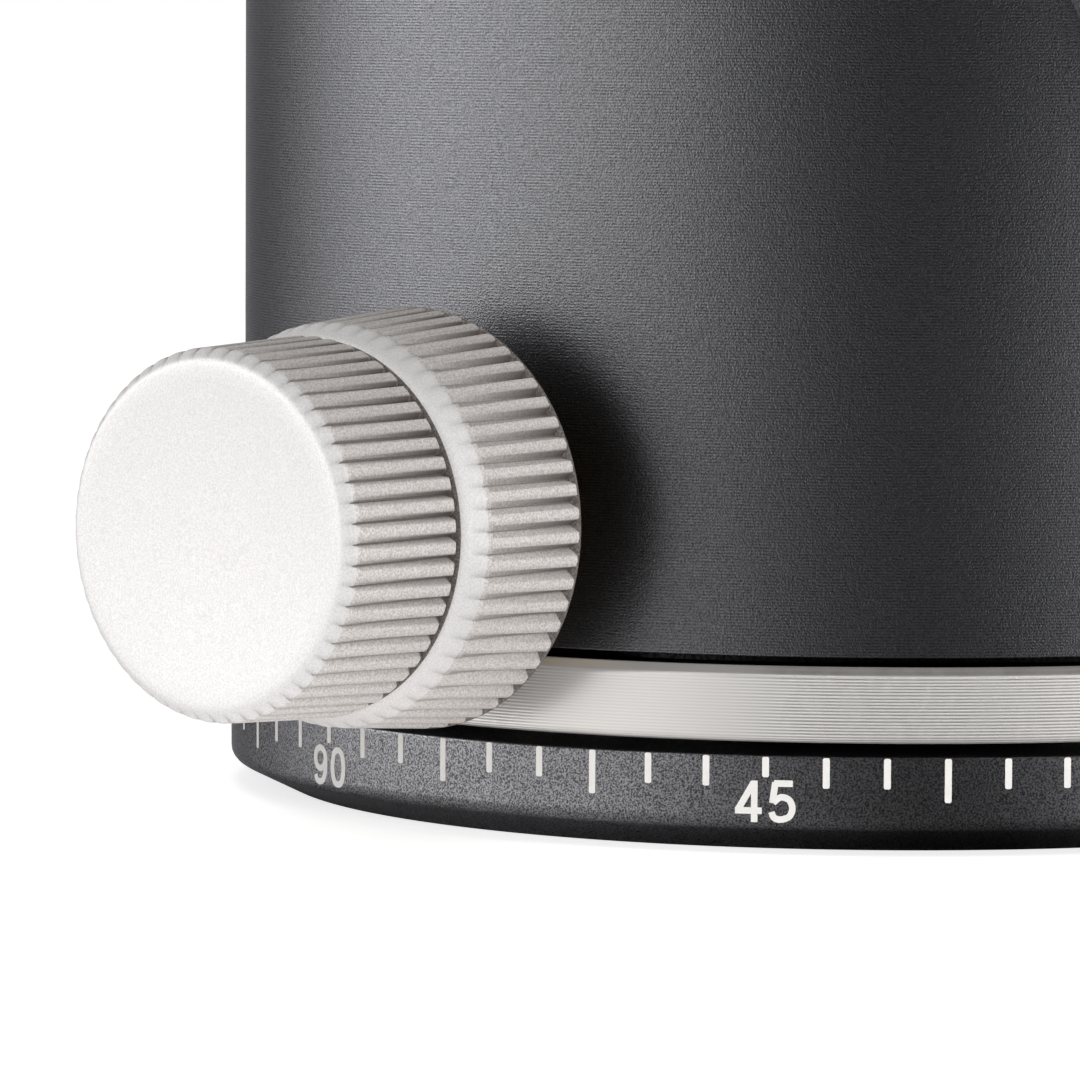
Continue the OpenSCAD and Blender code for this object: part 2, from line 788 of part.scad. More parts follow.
module ring_screws() {
  len = ring_h + groove_h + ring_screw_depth - ring_screw_sink;
  color(steel) around(ring_screws_n, ring_screw_circle, ring_screws_turn)
    translate([0, 0, ring_z + ring_screw_sink]) difference() {
      union() {
        cylinder(r1 = ring_screw_head_r, r2 = ring_screw_r, h = ring_screw_cone);
        rod(ring_screw_r, ring_screw_cone - eps, len);
      }
      mirror([0, 0, 1]) hex_socket(ring_screw_socket, 0, ring_screw_socket_depth);
    }
}

module pan_carrier() {
  color(black_metal) difference() {
    rod(bore_r - seat_fit, barrel_z, carrier_top);
    rod(journal_r + run_fit, barrel_z - over, web_z);
    rod(hub_r + run_fit, web_z - over, web_top + over);
    rod(journal_r, web_top, carrier_top + over);
    on_pan_axis() rod(pan_screw_r + run_fit, journal_r - over, bore_r + over);
    on_pan_axis() rod(pan_bushing_r + seat_fit, pan_bushing_tip, bore_r + over);
  }
}

module pan_bushing() {
  color(brass) on_pan_axis() difference() {
    union() {
      rod(pan_bushing_r, pan_bushing_tip + seat_fit, pan_spot + 2 * seat_fit);
      bevelled_rod(pan_collar_r, pan_spot + seat_fit, pan_collar_end);
    }
    rod(pan_screw_r + run_fit, journal_r, pan_collar_end + over);
  }
}

module lock_bushing() {
  color(brass) on_lock_axis() difference() {
    union() {
      rod(lock_bushing_r, lock_bushing_tip + seat_fit, boss_t + eps);
      bevelled_rod(lock_flange_r, boss_t, lock_flange_end, small_bevel);
    }
    rod(lock_screw_r + run_fit, lock_bushing_tip - over, lock_flange_end + over);
  }
}

module cup_spring() {
  inner_r = journal_r + cup_spring_inset;
  outer_r = bore_r - cup_spring_outset;
  top = cup_z - disc_gap;
  color(steel) rotate_extrude() polygon([
    [inner_r, carrier_top], [outer_r, top - cup_spring_t], [outer_r, top],
    [inner_r, carrier_top + cup_spring_t]
  ]);
}

module upper_seat_liners() {
  color(acetal) difference() {
    intersection() {
      translate([0, 0, ball_z]) sphere(r = seat_r + liner_t, $fn = 200);
      rod(bore_r, ball_z + liner_gap, rim_z - lip_h - liner_gap);
    }
    translate([0, 0, ball_z]) sphere(r = seat_r, $fn = 200);
    both_notches(notch_r + liner_gap);
  }
}

// ---------- pan control ----------

module pan_brake_shoe() {
  color(brass) on_pan_axis() difference() {
    rotate_extrude() polygon([
      [0, pan_shoe_tip], [shoe_tip_r, pan_shoe_tip],
      [pan_screw_r, pan_shoe_tip + brake_groove_depth],
      [pan_screw_r, pan_screw_tip - run_fit], [0, pan_screw_tip - run_fit]
    ]);
    rod(pan_plunger_r + run_fit, pan_shoe_tip - over, pan_screw_tip);
  }
}

module pan_drag_plunger() {
  color(acetal) on_pan_axis() headed_pin(
    pan_plunger_r, pan_drag_screw_r, pan_shoe_tip, pan_screw_tip, pan_screw_tip + plunger_head_h
  );
}

module pan_lock_screw() {
  color(steel) on_pan_axis() hollow_screw(
    pan_screw_r, pan_drag_screw_r + run_fit, pan_screw_tip,
    pan_knob_front - rear_cap - screw_end_gap
  );
}

module pan_lock_knob() {
  color(silver_metal) on_pan_axis() rear_knob(
    pan_knob_back, pan_knob_len, pan_knob_back_r, pan_knob_front_r,
    pan_shoulder_len, pan_shoulder_drop, pan_screw_r, pan_drag_screw_r, pan_grooves
  );
}

module pan_drag_spring() {
  color(steel) on_pan_axis() coil(
    pan_drag_screw_r - pan_spring_clear - pan_spring_wire_r, pan_spring_wire_r,
    pan_screw_tip + plunger_head_h + spring_end_gap, pan_drag_tip - pan_seat_h - spring_end_gap,
    spring_turns
  );
}

module pan_drag_seat() {
  color(steel) on_pan_axis()
    rod(pan_drag_screw_r, pan_drag_tip - pan_seat_h, pan_drag_tip - run_fit);
}

module pan_drag_screw() {
  color(steel) on_pan_axis()
    bevelled_rod(pan_drag_screw_r, pan_drag_tip, pan_drag_front - front_cap - screw_end_gap);
}

module pan_drag_knob() {
  color(silver_metal) on_pan_axis() front_knob(
    pan_drag_back, pan_drag_knob_len, pan_drag_back_r, pan_drag_front_r,
    pan_face_bevel, pan_drag_screw_r, pan_grooves
  );
}

// ---------- ball control ----------

module lock_plunger() {
  color(steel) on_lock_axis() difference() {
    rotate_extrude() polygon([
      [0, lock_tip], [cup_groove_half, lock_tip], [lock_screw_r, lock_tip + lock_cone_len],
      [lock_screw_r, lock_screw_tip - run_fit], [0, lock_screw_tip - run_fit]
    ]);
    rod(lock_plunger_r / 2 + run_fit, lock_tip - over, lock_tip + lock_plunger_step + over);
    rod(lock_plunger_r + run_fit, lock_tip + lock_plunger_step, lock_screw_tip);
  }
}

module ball_drag_plunger() {
  step = lock_tip + lock_plunger_step + lock_plunger_step_gap;
  color(acetal) on_lock_axis() {
    bevelled_rod(lock_plunger_r / 2, lock_tip, step + 2 * small_bevel, small_bevel);
    headed_pin(
      lock_plunger_r, lock_drag_screw_r, step, lock_screw_tip, lock_screw_tip + plunger_head_h
    );
  }
}

module ball_lock_screw() {
  color(steel) on_lock_axis() hollow_screw(
    lock_screw_r, lock_drag_screw_r + run_fit, lock_screw_tip,
    lock_knob_front - rear_cap - screw_end_gap
  );
}

module ball_lock_knob() {
  color(silver_metal) on_lock_axis() rear_knob(
    lock_knob_back, lock_knob_len, lock_knob_back_r, lock_knob_front_r,
    lock_shoulder_len, lock_shoulder_drop, lock_screw_r, lock_drag_screw_r, lock_grooves
  );
}

module ball_drag_spring() {
  color(steel) on_lock_axis() coil(
    lock_drag_screw_r - lock_spring_clear - lock_spring_wire_r, lock_spring_wire_r,
    lock_screw_tip + plunger_head_h + spring_end_gap, lock_drag_tip - lock_seat_h - spring_end_gap,
    spring_turns
  );
}

module ball_drag_seat() {
  color(steel) on_lock_axis()
    rod(lock_drag_screw_r, lock_drag_tip - lock_seat_h, lock_drag_tip - run_fit);
}

module ball_drag_screw() {
  color(steel) on_lock_axis()
    bevelled_rod(lock_drag_screw_r, lock_drag_tip, lock_drag_front - front_cap - screw_end_gap);
}

module ball_drag_knob() {
  color(silver_metal) on_lock_axis() front_knob(
    lock_drag_back, lock_drag_knob_len, lock_drag_back_r, lock_drag_front_r,
    lock_face_bevel, lock_drag_screw_r, lock_grooves
  );
}

// ---------- ball and its cup ----------

module pressure_cup() {
  groove_half = cup_groove_half + cup_r - cup_groove_r;
  color(acetal) difference() {
    rotate_extrude() polygon([
      [0, cup_z], [cup_r, cup_z],
      [cup_r, lock_z - groove_half], [cup_groove_r, lock_z - cup_groove_half],
      [cup_groove_r, lock_z + cup_groove_half], [cup_r, lock_z + groove_half],
      [cup_r, cup_top], [0, cup_top]
    ]);
    translate([0, 0, ball_z]) sphere(r = seat_r, $fn = 200);
    rod(cup_recess_r, cup_floor, ball_z);
  }
}

module ball() {
  color(dark_ball) difference() {
    union() {
      translate([0, 0, ball_z]) sphere(r = ball_r, $fn = 200);
      rod(neck_r, ball_z, flange_z);
      translate([0, 0, flange_z - neck_flare_h]) cylinder(
        r1 = neck_r, r2 = neck_r + neck_flare_slope * neck_flare_h, h = neck_flare_h + eps
      );
      bevelled_rod(flange_r, flange_z, clamp_z, ball_flange_bevel);
    }
    rod(clamp_screw_r + run_fit, clamp_z - fixing_len - fixing_room, clamp_z + over);
  }
}

// ---------- quick-release clamp ----------

// Outline of the closed clamp from above, with round corners
module clamp_outline() {
  half = clamp_len / 2;
  translate([-half + corner_r, -moving_side])
    square([clamp_len - 2 * corner_r, fixed_side + moving_side]);
  translate([-half, -moving_side + corner_r])
    square([clamp_len, fixed_side + moving_side - 2 * corner_r]);
  for (x = [-half + corner_r, half - corner_r], y = [-moving_side + corner_r, fixed_side - corner_r])
    translate([x, y]) circle(r = corner_r);
}

// Rectangle with cut corners
function cut_rectangle(low_x, high_x, low_y, high_y, cut) = [
  [low_x + cut, low_y], [high_x - cut, low_y], [high_x, low_y + cut], [high_x, high_y - cut],
  [high_x - cut, high_y], [low_x + cut, high_y], [low_x, high_y - cut], [low_x, low_y + cut]
];

// Part of the clamp's block between two distances across the channel
module clamp_block(from_y, to_y) {
  half = clamp_len / 2;
  intersection() {
    translate([0, 0, clamp_z]) linear_extrude(height = clamp_top - clamp_z) clamp_outline();
    translate([-half - over, 0, 0]) rotate([90, 0, 90])
      linear_extrude(height = clamp_len + 2 * over)
        polygon(cut_rectangle(-moving_side, fixed_side, clamp_z, clamp_top, clamp_bevel));
    translate([0, fixed_side + over, 0]) rotate([90, 0, 0])
      linear_extrude(height = fixed_side + moving_side + 2 * over)
        polygon(cut_rectangle(-half, half, clamp_z, clamp_top, clamp_bevel));
    translate([-clamp_len, from_y, clamp_z]) cube([2 * clamp_len, to_y - from_y, clamp_top]);
  }
}

// Space of the dovetail plate on the +Y side of the channel, along X. The floor is
// relieved under the undercut, so the plate lies on the floor between the two undercuts.
module dovetail_space(floor_z) {
  translate([-clamp_len, 0, 0]) rotate([90, 0, 90])
    linear_extrude(height = 2 * clamp_len) polygon([
      [0, floor_z], [jaw_edge - floor_relief_gap, floor_z],
      [jaw_edge - floor_relief_gap, floor_z - floor_relief],
      [channel_half, floor_z - floor_relief], [channel_half, deck_z + undercut_land],
      [jaw_edge, deck_z + undercut_land + undercut], [jaw_edge, clamp_top - jaw_lip],
      [jaw_edge + jaw_lip + over, clamp_top + over], [0, clamp_top + over]
    ]);
}

module clamp_base() {
  color(black_metal) difference() {
    clamp_block(-base_edge, fixed_side);
    dovetail_space(deck_z);
    translate([-clamp_len, -2 * plate_w, deck_z]) cube([2 * clamp_len, 2 * plate_w + eps, clamp_top]);
    rod(fixing_head_r + fixing_clear, deck_z - fixing_pocket, clamp_top);
    rod(clamp_screw_r + fixing_clear, clamp_z - over, clamp_top);
    on_clamp_axis() rod(clamp_screw_r + run_fit, screw_end - screw_end_room, moving_side);
    for (x = [-pin_x, pin_x])
      translate([x, 0, 0]) on_clamp_axis()
        rod(pin_r + seat_fit, base_edge - pin_base_depth, moving_side);
    for (x = [-spring_x, spring_x])
      translate([x, 0, 0]) on_clamp_axis()
        rod(spring_pocket_r, base_edge - spring_base_depth, moving_side);
    translate([level_x, level_y, 0]) rod(level_r + seat_fit, clamp_top - level_h, clamp_top + over);
  }
}

module clamp_fixing_screw() {
  head_z = deck_z - fixing_pocket;
  color(steel) difference() {
    union() {
      bevelled_rod(fixing_head_r, head_z, head_z + fixing_head_h);
      rod(clamp_screw_r, clamp_z - fixing_len, head_z + eps);
    }
    hex_socket(fixing_socket, head_z + fixing_head_h, fixing_socket_depth);
  }
}

module jaw_pins() {
  color(steel) for (x = [-pin_x, pin_x])
    translate([x, 0, 0]) on_clamp_axis()
      bevelled_rod(pin_r, base_edge - pin_base_depth + seat_fit, pin_tip);
}

module jaw_springs() {
  color(steel) for (x = [-spring_x, spring_x])
    translate([x, 0, 0]) on_clamp_axis() coil(
      spring_pocket_r - jaw_spring_clear - jaw_spring_wire_r, jaw_spring_wire_r,
      base_edge - spring_base_depth + spring_end_gap, jaw_edge + spring_jaw_depth - spring_end_gap,
      jaw_spring_turns
    );
}

module level_cup() {
  color(silver_metal) translate([level_x, level_y, 0]) difference() {
    rod(level_r, clamp_top - level_h, clamp_top);
    rod(level_r - level_wall, clamp_top - level_h + level_floor, clamp_top + over);
  }
}

module level_fluid() {
  top = clamp_top - level_sink - level_lens_h;
  color([0.75, 0.85, 0.25]) translate([level_x, level_y, 0]) difference() {
    rod(level_r - level_wall - seat_fit, clamp_top - level_h + level_floor, top);
    translate([0, 0, top]) sphere(r = bubble_r);
  }
}

module level_lens() {
  top = clamp_top - level_sink;
  color([0.9, 0.95, 0.95]) translate([level_x, level_y, 0])
    rod(level_r - level_wall - seat_fit, top - level_lens_h, top);
}

module clamp_jaw() {
  color(black_metal) difference() {
    clamp_block(-moving_side - over, -jaw_edge);
    mirror([0, 1, 0]) dovetail_space(deck_z - jaw_foot_gap);
    on_clamp_axis() rod(clamp_screw_r + screw_clear, 0, moving_side + over);
    for (x = [-pin_x, pin_x])
      translate([x, 0, 0]) on_clamp_axis() rod(pin_r + run_fit, 0, pin_tip + pin_room);
    for (x = [-spring_x, spring_x])
      translate([x, 0, 0]) on_clamp_axis() rod(spring_pocket_r, 0, jaw_edge + spring_jaw_depth);
  }
}

module clamp_washer() {
  color(steel) on_clamp_axis() tube(
    clamp_knob_r - clamp_washer_inset, clamp_screw_r + screw_clear,
    moving_side, moving_side + knob_washer_h
  );
}

module clamp_screw() {
  color(steel) on_clamp_axis() bevelled_rod(
    clamp_screw_r, screw_end, knob_back_y + clamp_knob_len - front_cap - clamp_screw_room
  );
}

module clamp_knob() {
  color(silver_metal) on_clamp_axis() front_knob(
    knob_back_y, clamp_knob_len, clamp_knob_r, clamp_knob_r - clamp_knob_taper,
    clamp_face_bevel, clamp_screw_r, clamp_grooves
  );
}

base_plate();
tripod_bushing();
spindle();
spindle_screws();
thrust_washer();
retaining_washer();
retaining_nut();
housing();
index_ring();
ring_screws();
pan_carrier();
pan_bushing();
lock_bushing();
cup_spring();
upper_seat_liners();
pan_brake_shoe();
pan_drag_plunger();
pan_lock_screw();
pan_lock_knob();
pan_drag_spring();
pan_drag_seat();
pan_drag_screw();
pan_drag_knob();
lock_plunger();
ball_drag_plunger();
ball_lock_screw();
ball_lock_knob();
ball_drag_spring();
ball_drag_seat();
ball_drag_screw();
ball_drag_knob();
pressure_cup();
ball();
clamp_base();
clamp_fixing_screw();
jaw_pins();
jaw_springs();
level_cup();
level_fluid();
level_lens();
clamp_jaw();
clamp_washer();
clamp_screw();
clamp_knob();
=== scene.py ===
"""Dresses the tripod ball head: a finish for every part, and fine meshes for the parts in view.

Sizes are in millimetres, and a mesh is turned to metres when it is put in its place. The head
stands on its foot at the origin with the ball's axis along +Z. The pan control points along -X
and the ball control along -Y.
"""

import logging
import math
from collections.abc import Sequence
from dataclasses import dataclass
from enum import Enum

import bmesh
import bpy
from mathutils import Euler, Matrix, Vector


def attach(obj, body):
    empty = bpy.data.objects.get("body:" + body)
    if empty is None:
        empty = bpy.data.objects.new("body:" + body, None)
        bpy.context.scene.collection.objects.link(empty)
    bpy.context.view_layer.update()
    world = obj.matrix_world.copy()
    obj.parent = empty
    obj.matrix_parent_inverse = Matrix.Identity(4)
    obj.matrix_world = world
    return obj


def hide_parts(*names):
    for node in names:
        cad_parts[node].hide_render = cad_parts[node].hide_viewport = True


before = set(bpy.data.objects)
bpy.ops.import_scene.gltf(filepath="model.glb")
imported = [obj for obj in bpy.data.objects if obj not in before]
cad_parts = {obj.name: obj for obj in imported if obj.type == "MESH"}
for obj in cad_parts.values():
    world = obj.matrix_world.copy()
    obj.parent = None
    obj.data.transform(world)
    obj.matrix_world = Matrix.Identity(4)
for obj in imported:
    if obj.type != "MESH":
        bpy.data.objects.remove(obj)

MM = 0.001
TINY = 1e-6
SHARP = math.radians(32)
GRIP_SHARP = math.radians(28)
LOG = logging.getLogger("ball_head")
MADE: dict[str, bpy.types.Material] = {}

# A rounding takes up to this share of a run. A longer run is held by points near its ends
ROUNDING_SHARE, HELD_RUN, HELD_STEP = 0.48, 0.4, 0.05

# Even steps of a full turn
WALL_STEPS, BOSS_STEPS, CORE_STEPS, BORE_STEPS = 288, 240, 192, 96

Profile = list[tuple[float, float]]
Corner = tuple[float, float, float]
Inputs = dict[str | int, object]


# ---------- axes and lathe work ----------


@dataclass(frozen=True)
class Axis:
    """Line that a part is turned about. Heights of a profile run outwards along it.

    Attributes:
        centre: point of the line that heights are measured from, in mm.
        turn: angles about X, Y and Z that bring +Z onto the line, in degrees.
    """

    centre: Corner = (0.0, 0.0, 0.0)
    turn: Corner = (0.0, 0.0, 0.0)

    def place(self) -> Matrix:
        """Returns the move from the lathe to the head, in mm."""
        turn = Euler([math.radians(angle) for angle in self.turn]).to_matrix().to_4x4()
        return Matrix.Translation(self.centre) @ turn


HEAD_AXIS = Axis()
PAN_AXIS = Axis((0.0, 0.0, 14.23), (0.0, -90.0, 0.0))
LOCK_AXIS = Axis((0.0, 0.0, 42.6), (90.0, 0.0, 0.0))
CLAMP_AXIS = Axis((0.0, 0.0, 98.75), (90.0, 0.0, 0.0))


class Joining(Enum):
    """What is done with the shapes that a piece is combined with."""

    CUT = "DIFFERENCE"
    ADD = "UNION"


def soften(corners: Sequence[Corner], closed: bool = True, steps: int = 4) -> Profile:
    """Rounds the corners of a profile and holds its straight runs with a point near each end.

    Args:
        corners: radius, height and rounding of each corner, in mm.
        closed: whether the last corner joins the first.
        steps: pieces that each rounding is drawn with.

    Returns:
        The points of the finished profile.
    """
    count = len(corners)
    drawn: Profile = []
    for i, (radius, height, rounding) in enumerate(corners):
        here = Vector((radius, height))
        if rounding <= 0 or (not closed and i in (0, count - 1)):
            drawn.append((radius, height))
            continue
        before = Vector(corners[i - 1][:2]) - here
        after = Vector(corners[(i + 1) % count][:2]) - here
        reach = min(rounding, ROUNDING_SHARE * before.length, ROUNDING_SHARE * after.length)
        start, end = here + before.normalized() * reach, here + after.normalized() * reach
        for k in range(steps + 1):
            t = k / steps
            drawn.append(tuple(start * (1 - t) ** 2 + here * 2 * t * (1 - t) + end * t * t))
    held: Profile = []
    for i, point in enumerate(drawn):
        held.append(point)
        if not closed and i == len(drawn) - 1:
            break
        a, b = Vector(point), Vector(drawn[(i + 1) % len(drawn)])
        if (b - a).length > HELD_RUN:
            step = (b - a).normalized() * HELD_STEP
            held += [tuple(a + step), tuple(b - step)]
    return held


def piece_from(name: str, work: bmesh.types.BMesh) -> bpy.types.Object:
    """Turns finished mesh work into a piece in the scene.

    Args:
        name: name of the new piece.
        work: mesh work, which is freed.

    Returns:
        The new piece.
    """
    mesh = bpy.data.meshes.new(name)
    work.to_mesh(mesh)
    work.free()
    piece = bpy.data.objects.new(name, mesh)
    bpy.context.scene.collection.objects.link(piece)
    return piece


def lathe(
    name: str, profile: Profile, angles: int | Sequence[float], closed: bool = False
) -> bpy.types.Object:
    """Spins a profile round the lathe's axis.

    Args:
        name: name of the new piece.
        profile: radius and height of each point, in mm.
        angles: how many even steps it is spun in, or the angle of each step in radians.
        closed: whether the last point joins the first, as on a bored part.

    Returns:
        The piece, still on the lathe.
    """
    if isinstance(angles, int):
        angles = [math.tau * i / angles for i in range(angles)]
    work = bmesh.new()
    rings = []
    for radius, height in profile:
        spun = [(radius * math.cos(a), radius * math.sin(a)) for a in angles]
        if radius < TINY:
            spun = [(0.0, 0.0)]
        rings.append([work.verts.new((x, y, height)) for x, y in spun])
    for low, high in zip(rings, rings[1:] + rings[: int(closed)]):
        for i in range(len(angles)):
            j = (i + 1) % len(angles)
            corners = [low[i % len(low)], low[j % len(low)], high[j % len(high)], high[i % len(high)]]
            corners = list(dict.fromkeys(corners))
            if len(corners) > 2:
                work.faces.new(corners)
    bmesh.ops.recalc_face_normals(work, faces=work.faces)
    return piece_from(name, work)


def bake(piece: bpy.types.Object) -> None:
    """Makes the result of a piece's modifiers its plain mesh and removes the modifiers.

    Args:
        piece: piece with its modifiers.
    """
    graph = bpy.context.evaluated_depsgraph_get()
    made = bpy.data.meshes.new_from_object(piece.evaluated_get(graph))
    piece.modifiers.clear()
    old, piece.data = piece.data, made
    bpy.data.meshes.remove(old)


def combine(piece: bpy.types.Object, tools: Sequence[bpy.types.Object], joining: Joining) -> None:
    """Cuts other shapes out of a piece or joins them to it, and removes those shapes.

    Args:
        piece: piece that is worked on.
        tools: closed shapes to cut with or to join.
        joining: what is done with them.
    """
    for tool in tools:
        step = piece.modifiers.new(tool.name, "BOOLEAN")
        step.operation, step.object, step.solver = joining.value, tool, "EXACT"
    bake(piece)
    for tool in tools:
        bpy.data.objects.remove(tool)


def moved(piece: bpy.types.Object, place: Matrix) -> bpy.types.Object:
    """Moves a piece by moving its mesh, and returns it."""
    piece.data.transform(place)
    return piece


def plug(radius: float, low: float, high: float) -> Profile:
    """Returns the profile of a plain cylinder between two heights."""
    return [(0.0, low), (radius, low), (radius, high), (0.0, high)]


def on_circle(
    shape: Profile, segments: int, circle: float, turn: float, count: int, base: float = 0.0
) -> list[bpy.types.Object]:
    """Turns equal shapes that stand on a circle, to cut with.

    Args:
        shape: profile of each.
        segments: how many even steps it is spun in.
        circle: radius of the circle.
        turn: angle of the first one, in degrees.
        count: how many there are.
        base: height that the profile is measured from.

    Returns:
        The shapes.
    """
    shapes = []
    for i in range(count):
        angle = math.radians(turn + 360 / count * i)
        spot = Matrix.Translation((circle * math.cos(angle), circle * math.sin(angle), base))
        shapes.append(moved(lathe("hole", shape, segments), spot))
    return shapes


# ---------- node trees ----------


class Tree:
    """A node tree with short ways to add its usual nodes."""

    def __init__(self, tree: bpy.types.NodeTree) -> None:
        """Starts with an empty tree."""
        self.tree = tree
        tree.nodes.clear()

    def node(self, kind: str, inputs: Inputs | None = None, **settings: object) -> bpy.types.Node:
        """Adds a node with its settings and links.

        Args:
            kind: the node's type.
            inputs: for each input by name or number, a value or the output that feeds it.
            **settings: the node's own settings, such as its operation.

        Returns:
            The new node.
        """
        node = self.tree.nodes.new(kind)
        for name, value in settings.items():
            setattr(node, name, value)
        for key, value in (inputs or {}).items():
            if isinstance(value, bpy.types.Node):
                value = value.outputs[0]
            if isinstance(value, bpy.types.NodeSocket):
                self.tree.links.new(value, node.inputs[key])
            else:
                node.inputs[key].default_value = value
        return node

    def math(self, operation: str, *values: object) -> bpy.types.Node:
        """Adds one step of arithmetic on up to three values and returns it."""
        return self.node("ShaderNodeMath", dict(enumerate(values)), operation=operation)

    def measure(self, operation: str, *vectors: object) -> bpy.types.NodeSocket:
        """Adds a step that gives a number for vectors, such as their length, and returns it."""
        found = self.node("ShaderNodeVectorMath", dict(enumerate(vectors)), operation=operation)
        return found.outputs["Value"]

    def fit(
        self,
        value: object,
        span: tuple[object, object],
        onto: tuple[float, float] = (0.0, 1.0),
        **settings: object,
    ) -> bpy.types.Node:
        """Adds a step that carries a value from one span onto another and holds it at the ends.

        Args:
            value: the value.
            span: start and end of the span that it comes from.
            onto: what the start and the end become.
            **settings: the node's own settings.

        Returns:
            The new node.
        """
        return self.node("ShaderNodeMapRange", {
            "Value": value, "From Min": span[0], "From Max": span[1], "To Min": onto[0], "To Max": onto[1],
        }, **settings)

    def noise(self, spot: object, scale: float, detail: float) -> bpy.types.Node:
        """Adds even noise about a point and returns it."""
        return self.node("ShaderNodeTexNoise", {"Vector": spot, "Scale": scale, "Detail": detail})

    def blend(self, share: object, first: object, second: object) -> bpy.types.NodeSocket:
        """Adds a blend from the first colour to the second and returns its colour."""
        return self.node("ShaderNodeMix", {0: share, 6: first, 7: second}, data_type="RGBA").outputs[2]


class ShapeTree(Tree):
    """A Geometry Nodes tree with named sizes, ended by Realize Instances and Set Material."""

    KINDS = {int: "NodeSocketInt", float: "NodeSocketFloat"}

    def __init__(self, name: str, sizes: dict[str, int | float]) -> None:
        """Starts the tree.

        Args:
            name: name of the tree.
            sizes: for each named size, its usual value.
        """
        super().__init__(bpy.data.node_groups.new(name, "GeometryNodeTree"))
        self.sizes = sizes
        face = self.tree.interface
        for side in ("INPUT", "OUTPUT"):
            face.new_socket("Geometry", in_out=side, socket_type="NodeSocketGeometry")
        for label, value in sizes.items():
            face.new_socket(label, in_out="INPUT", socket_type=self.KINDS[type(value)]).default_value = value
        face.new_socket("Finish", in_out="INPUT", socket_type="NodeSocketMaterial")
        self.given = self.tree.nodes.new("NodeGroupInput").outputs

    def keep(self, geometry: object, name: str, value: object) -> bpy.types.Node:
        """Stores a value at each point of a shape for its finish to use.

        Args:
            geometry: the node whose output is the shape.
            name: name that the value is kept under.
            value: the node or output that gives it.

        Returns:
            The node that gives the shape with its value.
        """
        return self.node("GeometryNodeStoreNamedAttribute", {
            "Geometry": geometry, "Name": name, "Value": value,
        }, data_type="FLOAT", domain="POINT")

    def close(self, geometry: object) -> None:
        """Ends the tree with the shape that it has made.

        Args:
            geometry: the node whose output is the shape.
        """
        real = self.node("GeometryNodeRealizeInstances", {0: geometry})
        dressed = self.node("GeometryNodeSetMaterial", {0: real, "Material": self.given["Finish"]})
        self.node("NodeGroupOutput", {0: dressed})

    def shape(self, piece: bpy.types.Object, finish: bpy.types.Material, **sizes: int | float) -> None:
        """Runs the tree on a piece and makes the result its plain mesh.

        Args:
            piece: piece that is worked on.
            finish: material of the result.
            **sizes: values that differ from the usual ones, with _ for each space.
        """
        step = piece.modifiers.new(self.tree.name, "NODES")
        step.node_group = self.tree
        given = {label.replace("_", " "): value for label, value in sizes.items()}
        values = self.sizes | given | {"Finish": finish}
        for socket in self.tree.interface.items_tree:
            if socket.in_out == "INPUT" and socket.name in values:
                step[socket.identifier] = values[socket.name]
        bake(piece)


def knurl_tree() -> ShapeTree:
    """Makes the tree that cuts straight V grooves round a turned band.

    Returns:
        The tree. It draws each point of the band in to the nearest groove's wall, and keeps how
        much painted shade each point has on a groove's shaded wall and on the crest's side beside it.
    """
    knurl = ShapeTree("knurl", {
        "Grooves": 56, "Root radius": 7.6, "Depth": 0.33, "Share": 0.36, "Crown": 0.02, "Edge": 0.012,
        "Start": 0.0,
    })
    given, calc = knurl.given, knurl.math
    # The crown fades over this height under the grooves' ground, and a wall is in full shade
    # from this depth
    fade, full_depth = 0.3, 0.12
    # Half the width of a groove's middle line and the width of the shaded strip beside it, in
    # pitches; then the shade that the lit wall and the start of that strip have
    middle, strip, lit_wall, strip_shade = 0.02, 0.3, 0.2, 0.3
    x, y, z = knurl.node("ShaderNodeSeparateXYZ", {0: knurl.node("GeometryNodeInputPosition")}).outputs
    radius = knurl.measure("LENGTH", knurl.node("ShaderNodeCombineXYZ", {0: x, 1: y}))
    angle = calc("DIVIDE", calc("ARCTAN2", y, x), math.tau)
    side = calc("WRAP", calc("MULTIPLY", angle, given["Grooves"]), 0.5, -0.5)
    away = calc("ABSOLUTE", side)
    half = calc("MULTIPLY", given["Share"], 0.5)
    rise = calc("MULTIPLY", given["Depth"], calc("DIVIDE", away, half))
    wall = calc("ADD", given["Root radius"], rise)
    lean = calc("DIVIDE", calc("SUBTRACT", 0.5, away), calc("SUBTRACT", 0.5, half))
    on_band = knurl.fit(radius, (calc("SUBTRACT", given["Root radius"], fade), given["Root radius"]))
    fall = calc("MULTIPLY", calc("MULTIPLY", lean, lean), calc("MULTIPLY", given["Crown"], on_band))
    cut = calc("SMOOTH_MIN", calc("SUBTRACT", radius, fall), wall, given["Edge"])
    grooved = calc("GREATER_THAN", z, given["Start"])
    kept = calc("MULTIPLY_ADD", calc("SUBTRACT", cut, radius), grooved, radius)
    scale = calc("DIVIDE", kept, radius)
    place = knurl.node("ShaderNodeCombineXYZ", {
        0: calc("MULTIPLY", x, scale), 1: calc("MULTIPLY", y, scale), 2: z,
    })
    # Painted shade for the finishes: one wall of each groove, darker with depth, and the crest's side beside
    # it
    depth = calc("MINIMUM", calc("DIVIDE", calc("SUBTRACT", radius, kept), full_depth), 1.0)
    shaded_wall = calc("MULTIPLY", depth, knurl.fit(side, (-middle, middle), (lit_wall, 1.0)))
    beside = knurl.fit(side, (half, calc("ADD", half, strip)), (strip_shade, 0.0))
    shaded_side = calc("MULTIPLY", beside, calc("GREATER_THAN", side, 0.0))
    walled = knurl.keep(given["Geometry"], "painted_wall_shade", shaded_wall)
    sided = knurl.keep(walled, "painted_crest_shade", calc("MAXIMUM", shaded_side, shaded_wall))
    knurl.close(knurl.node("GeometryNodeSetPosition", {"Geometry": sided, "Position": place}))
    return knurl


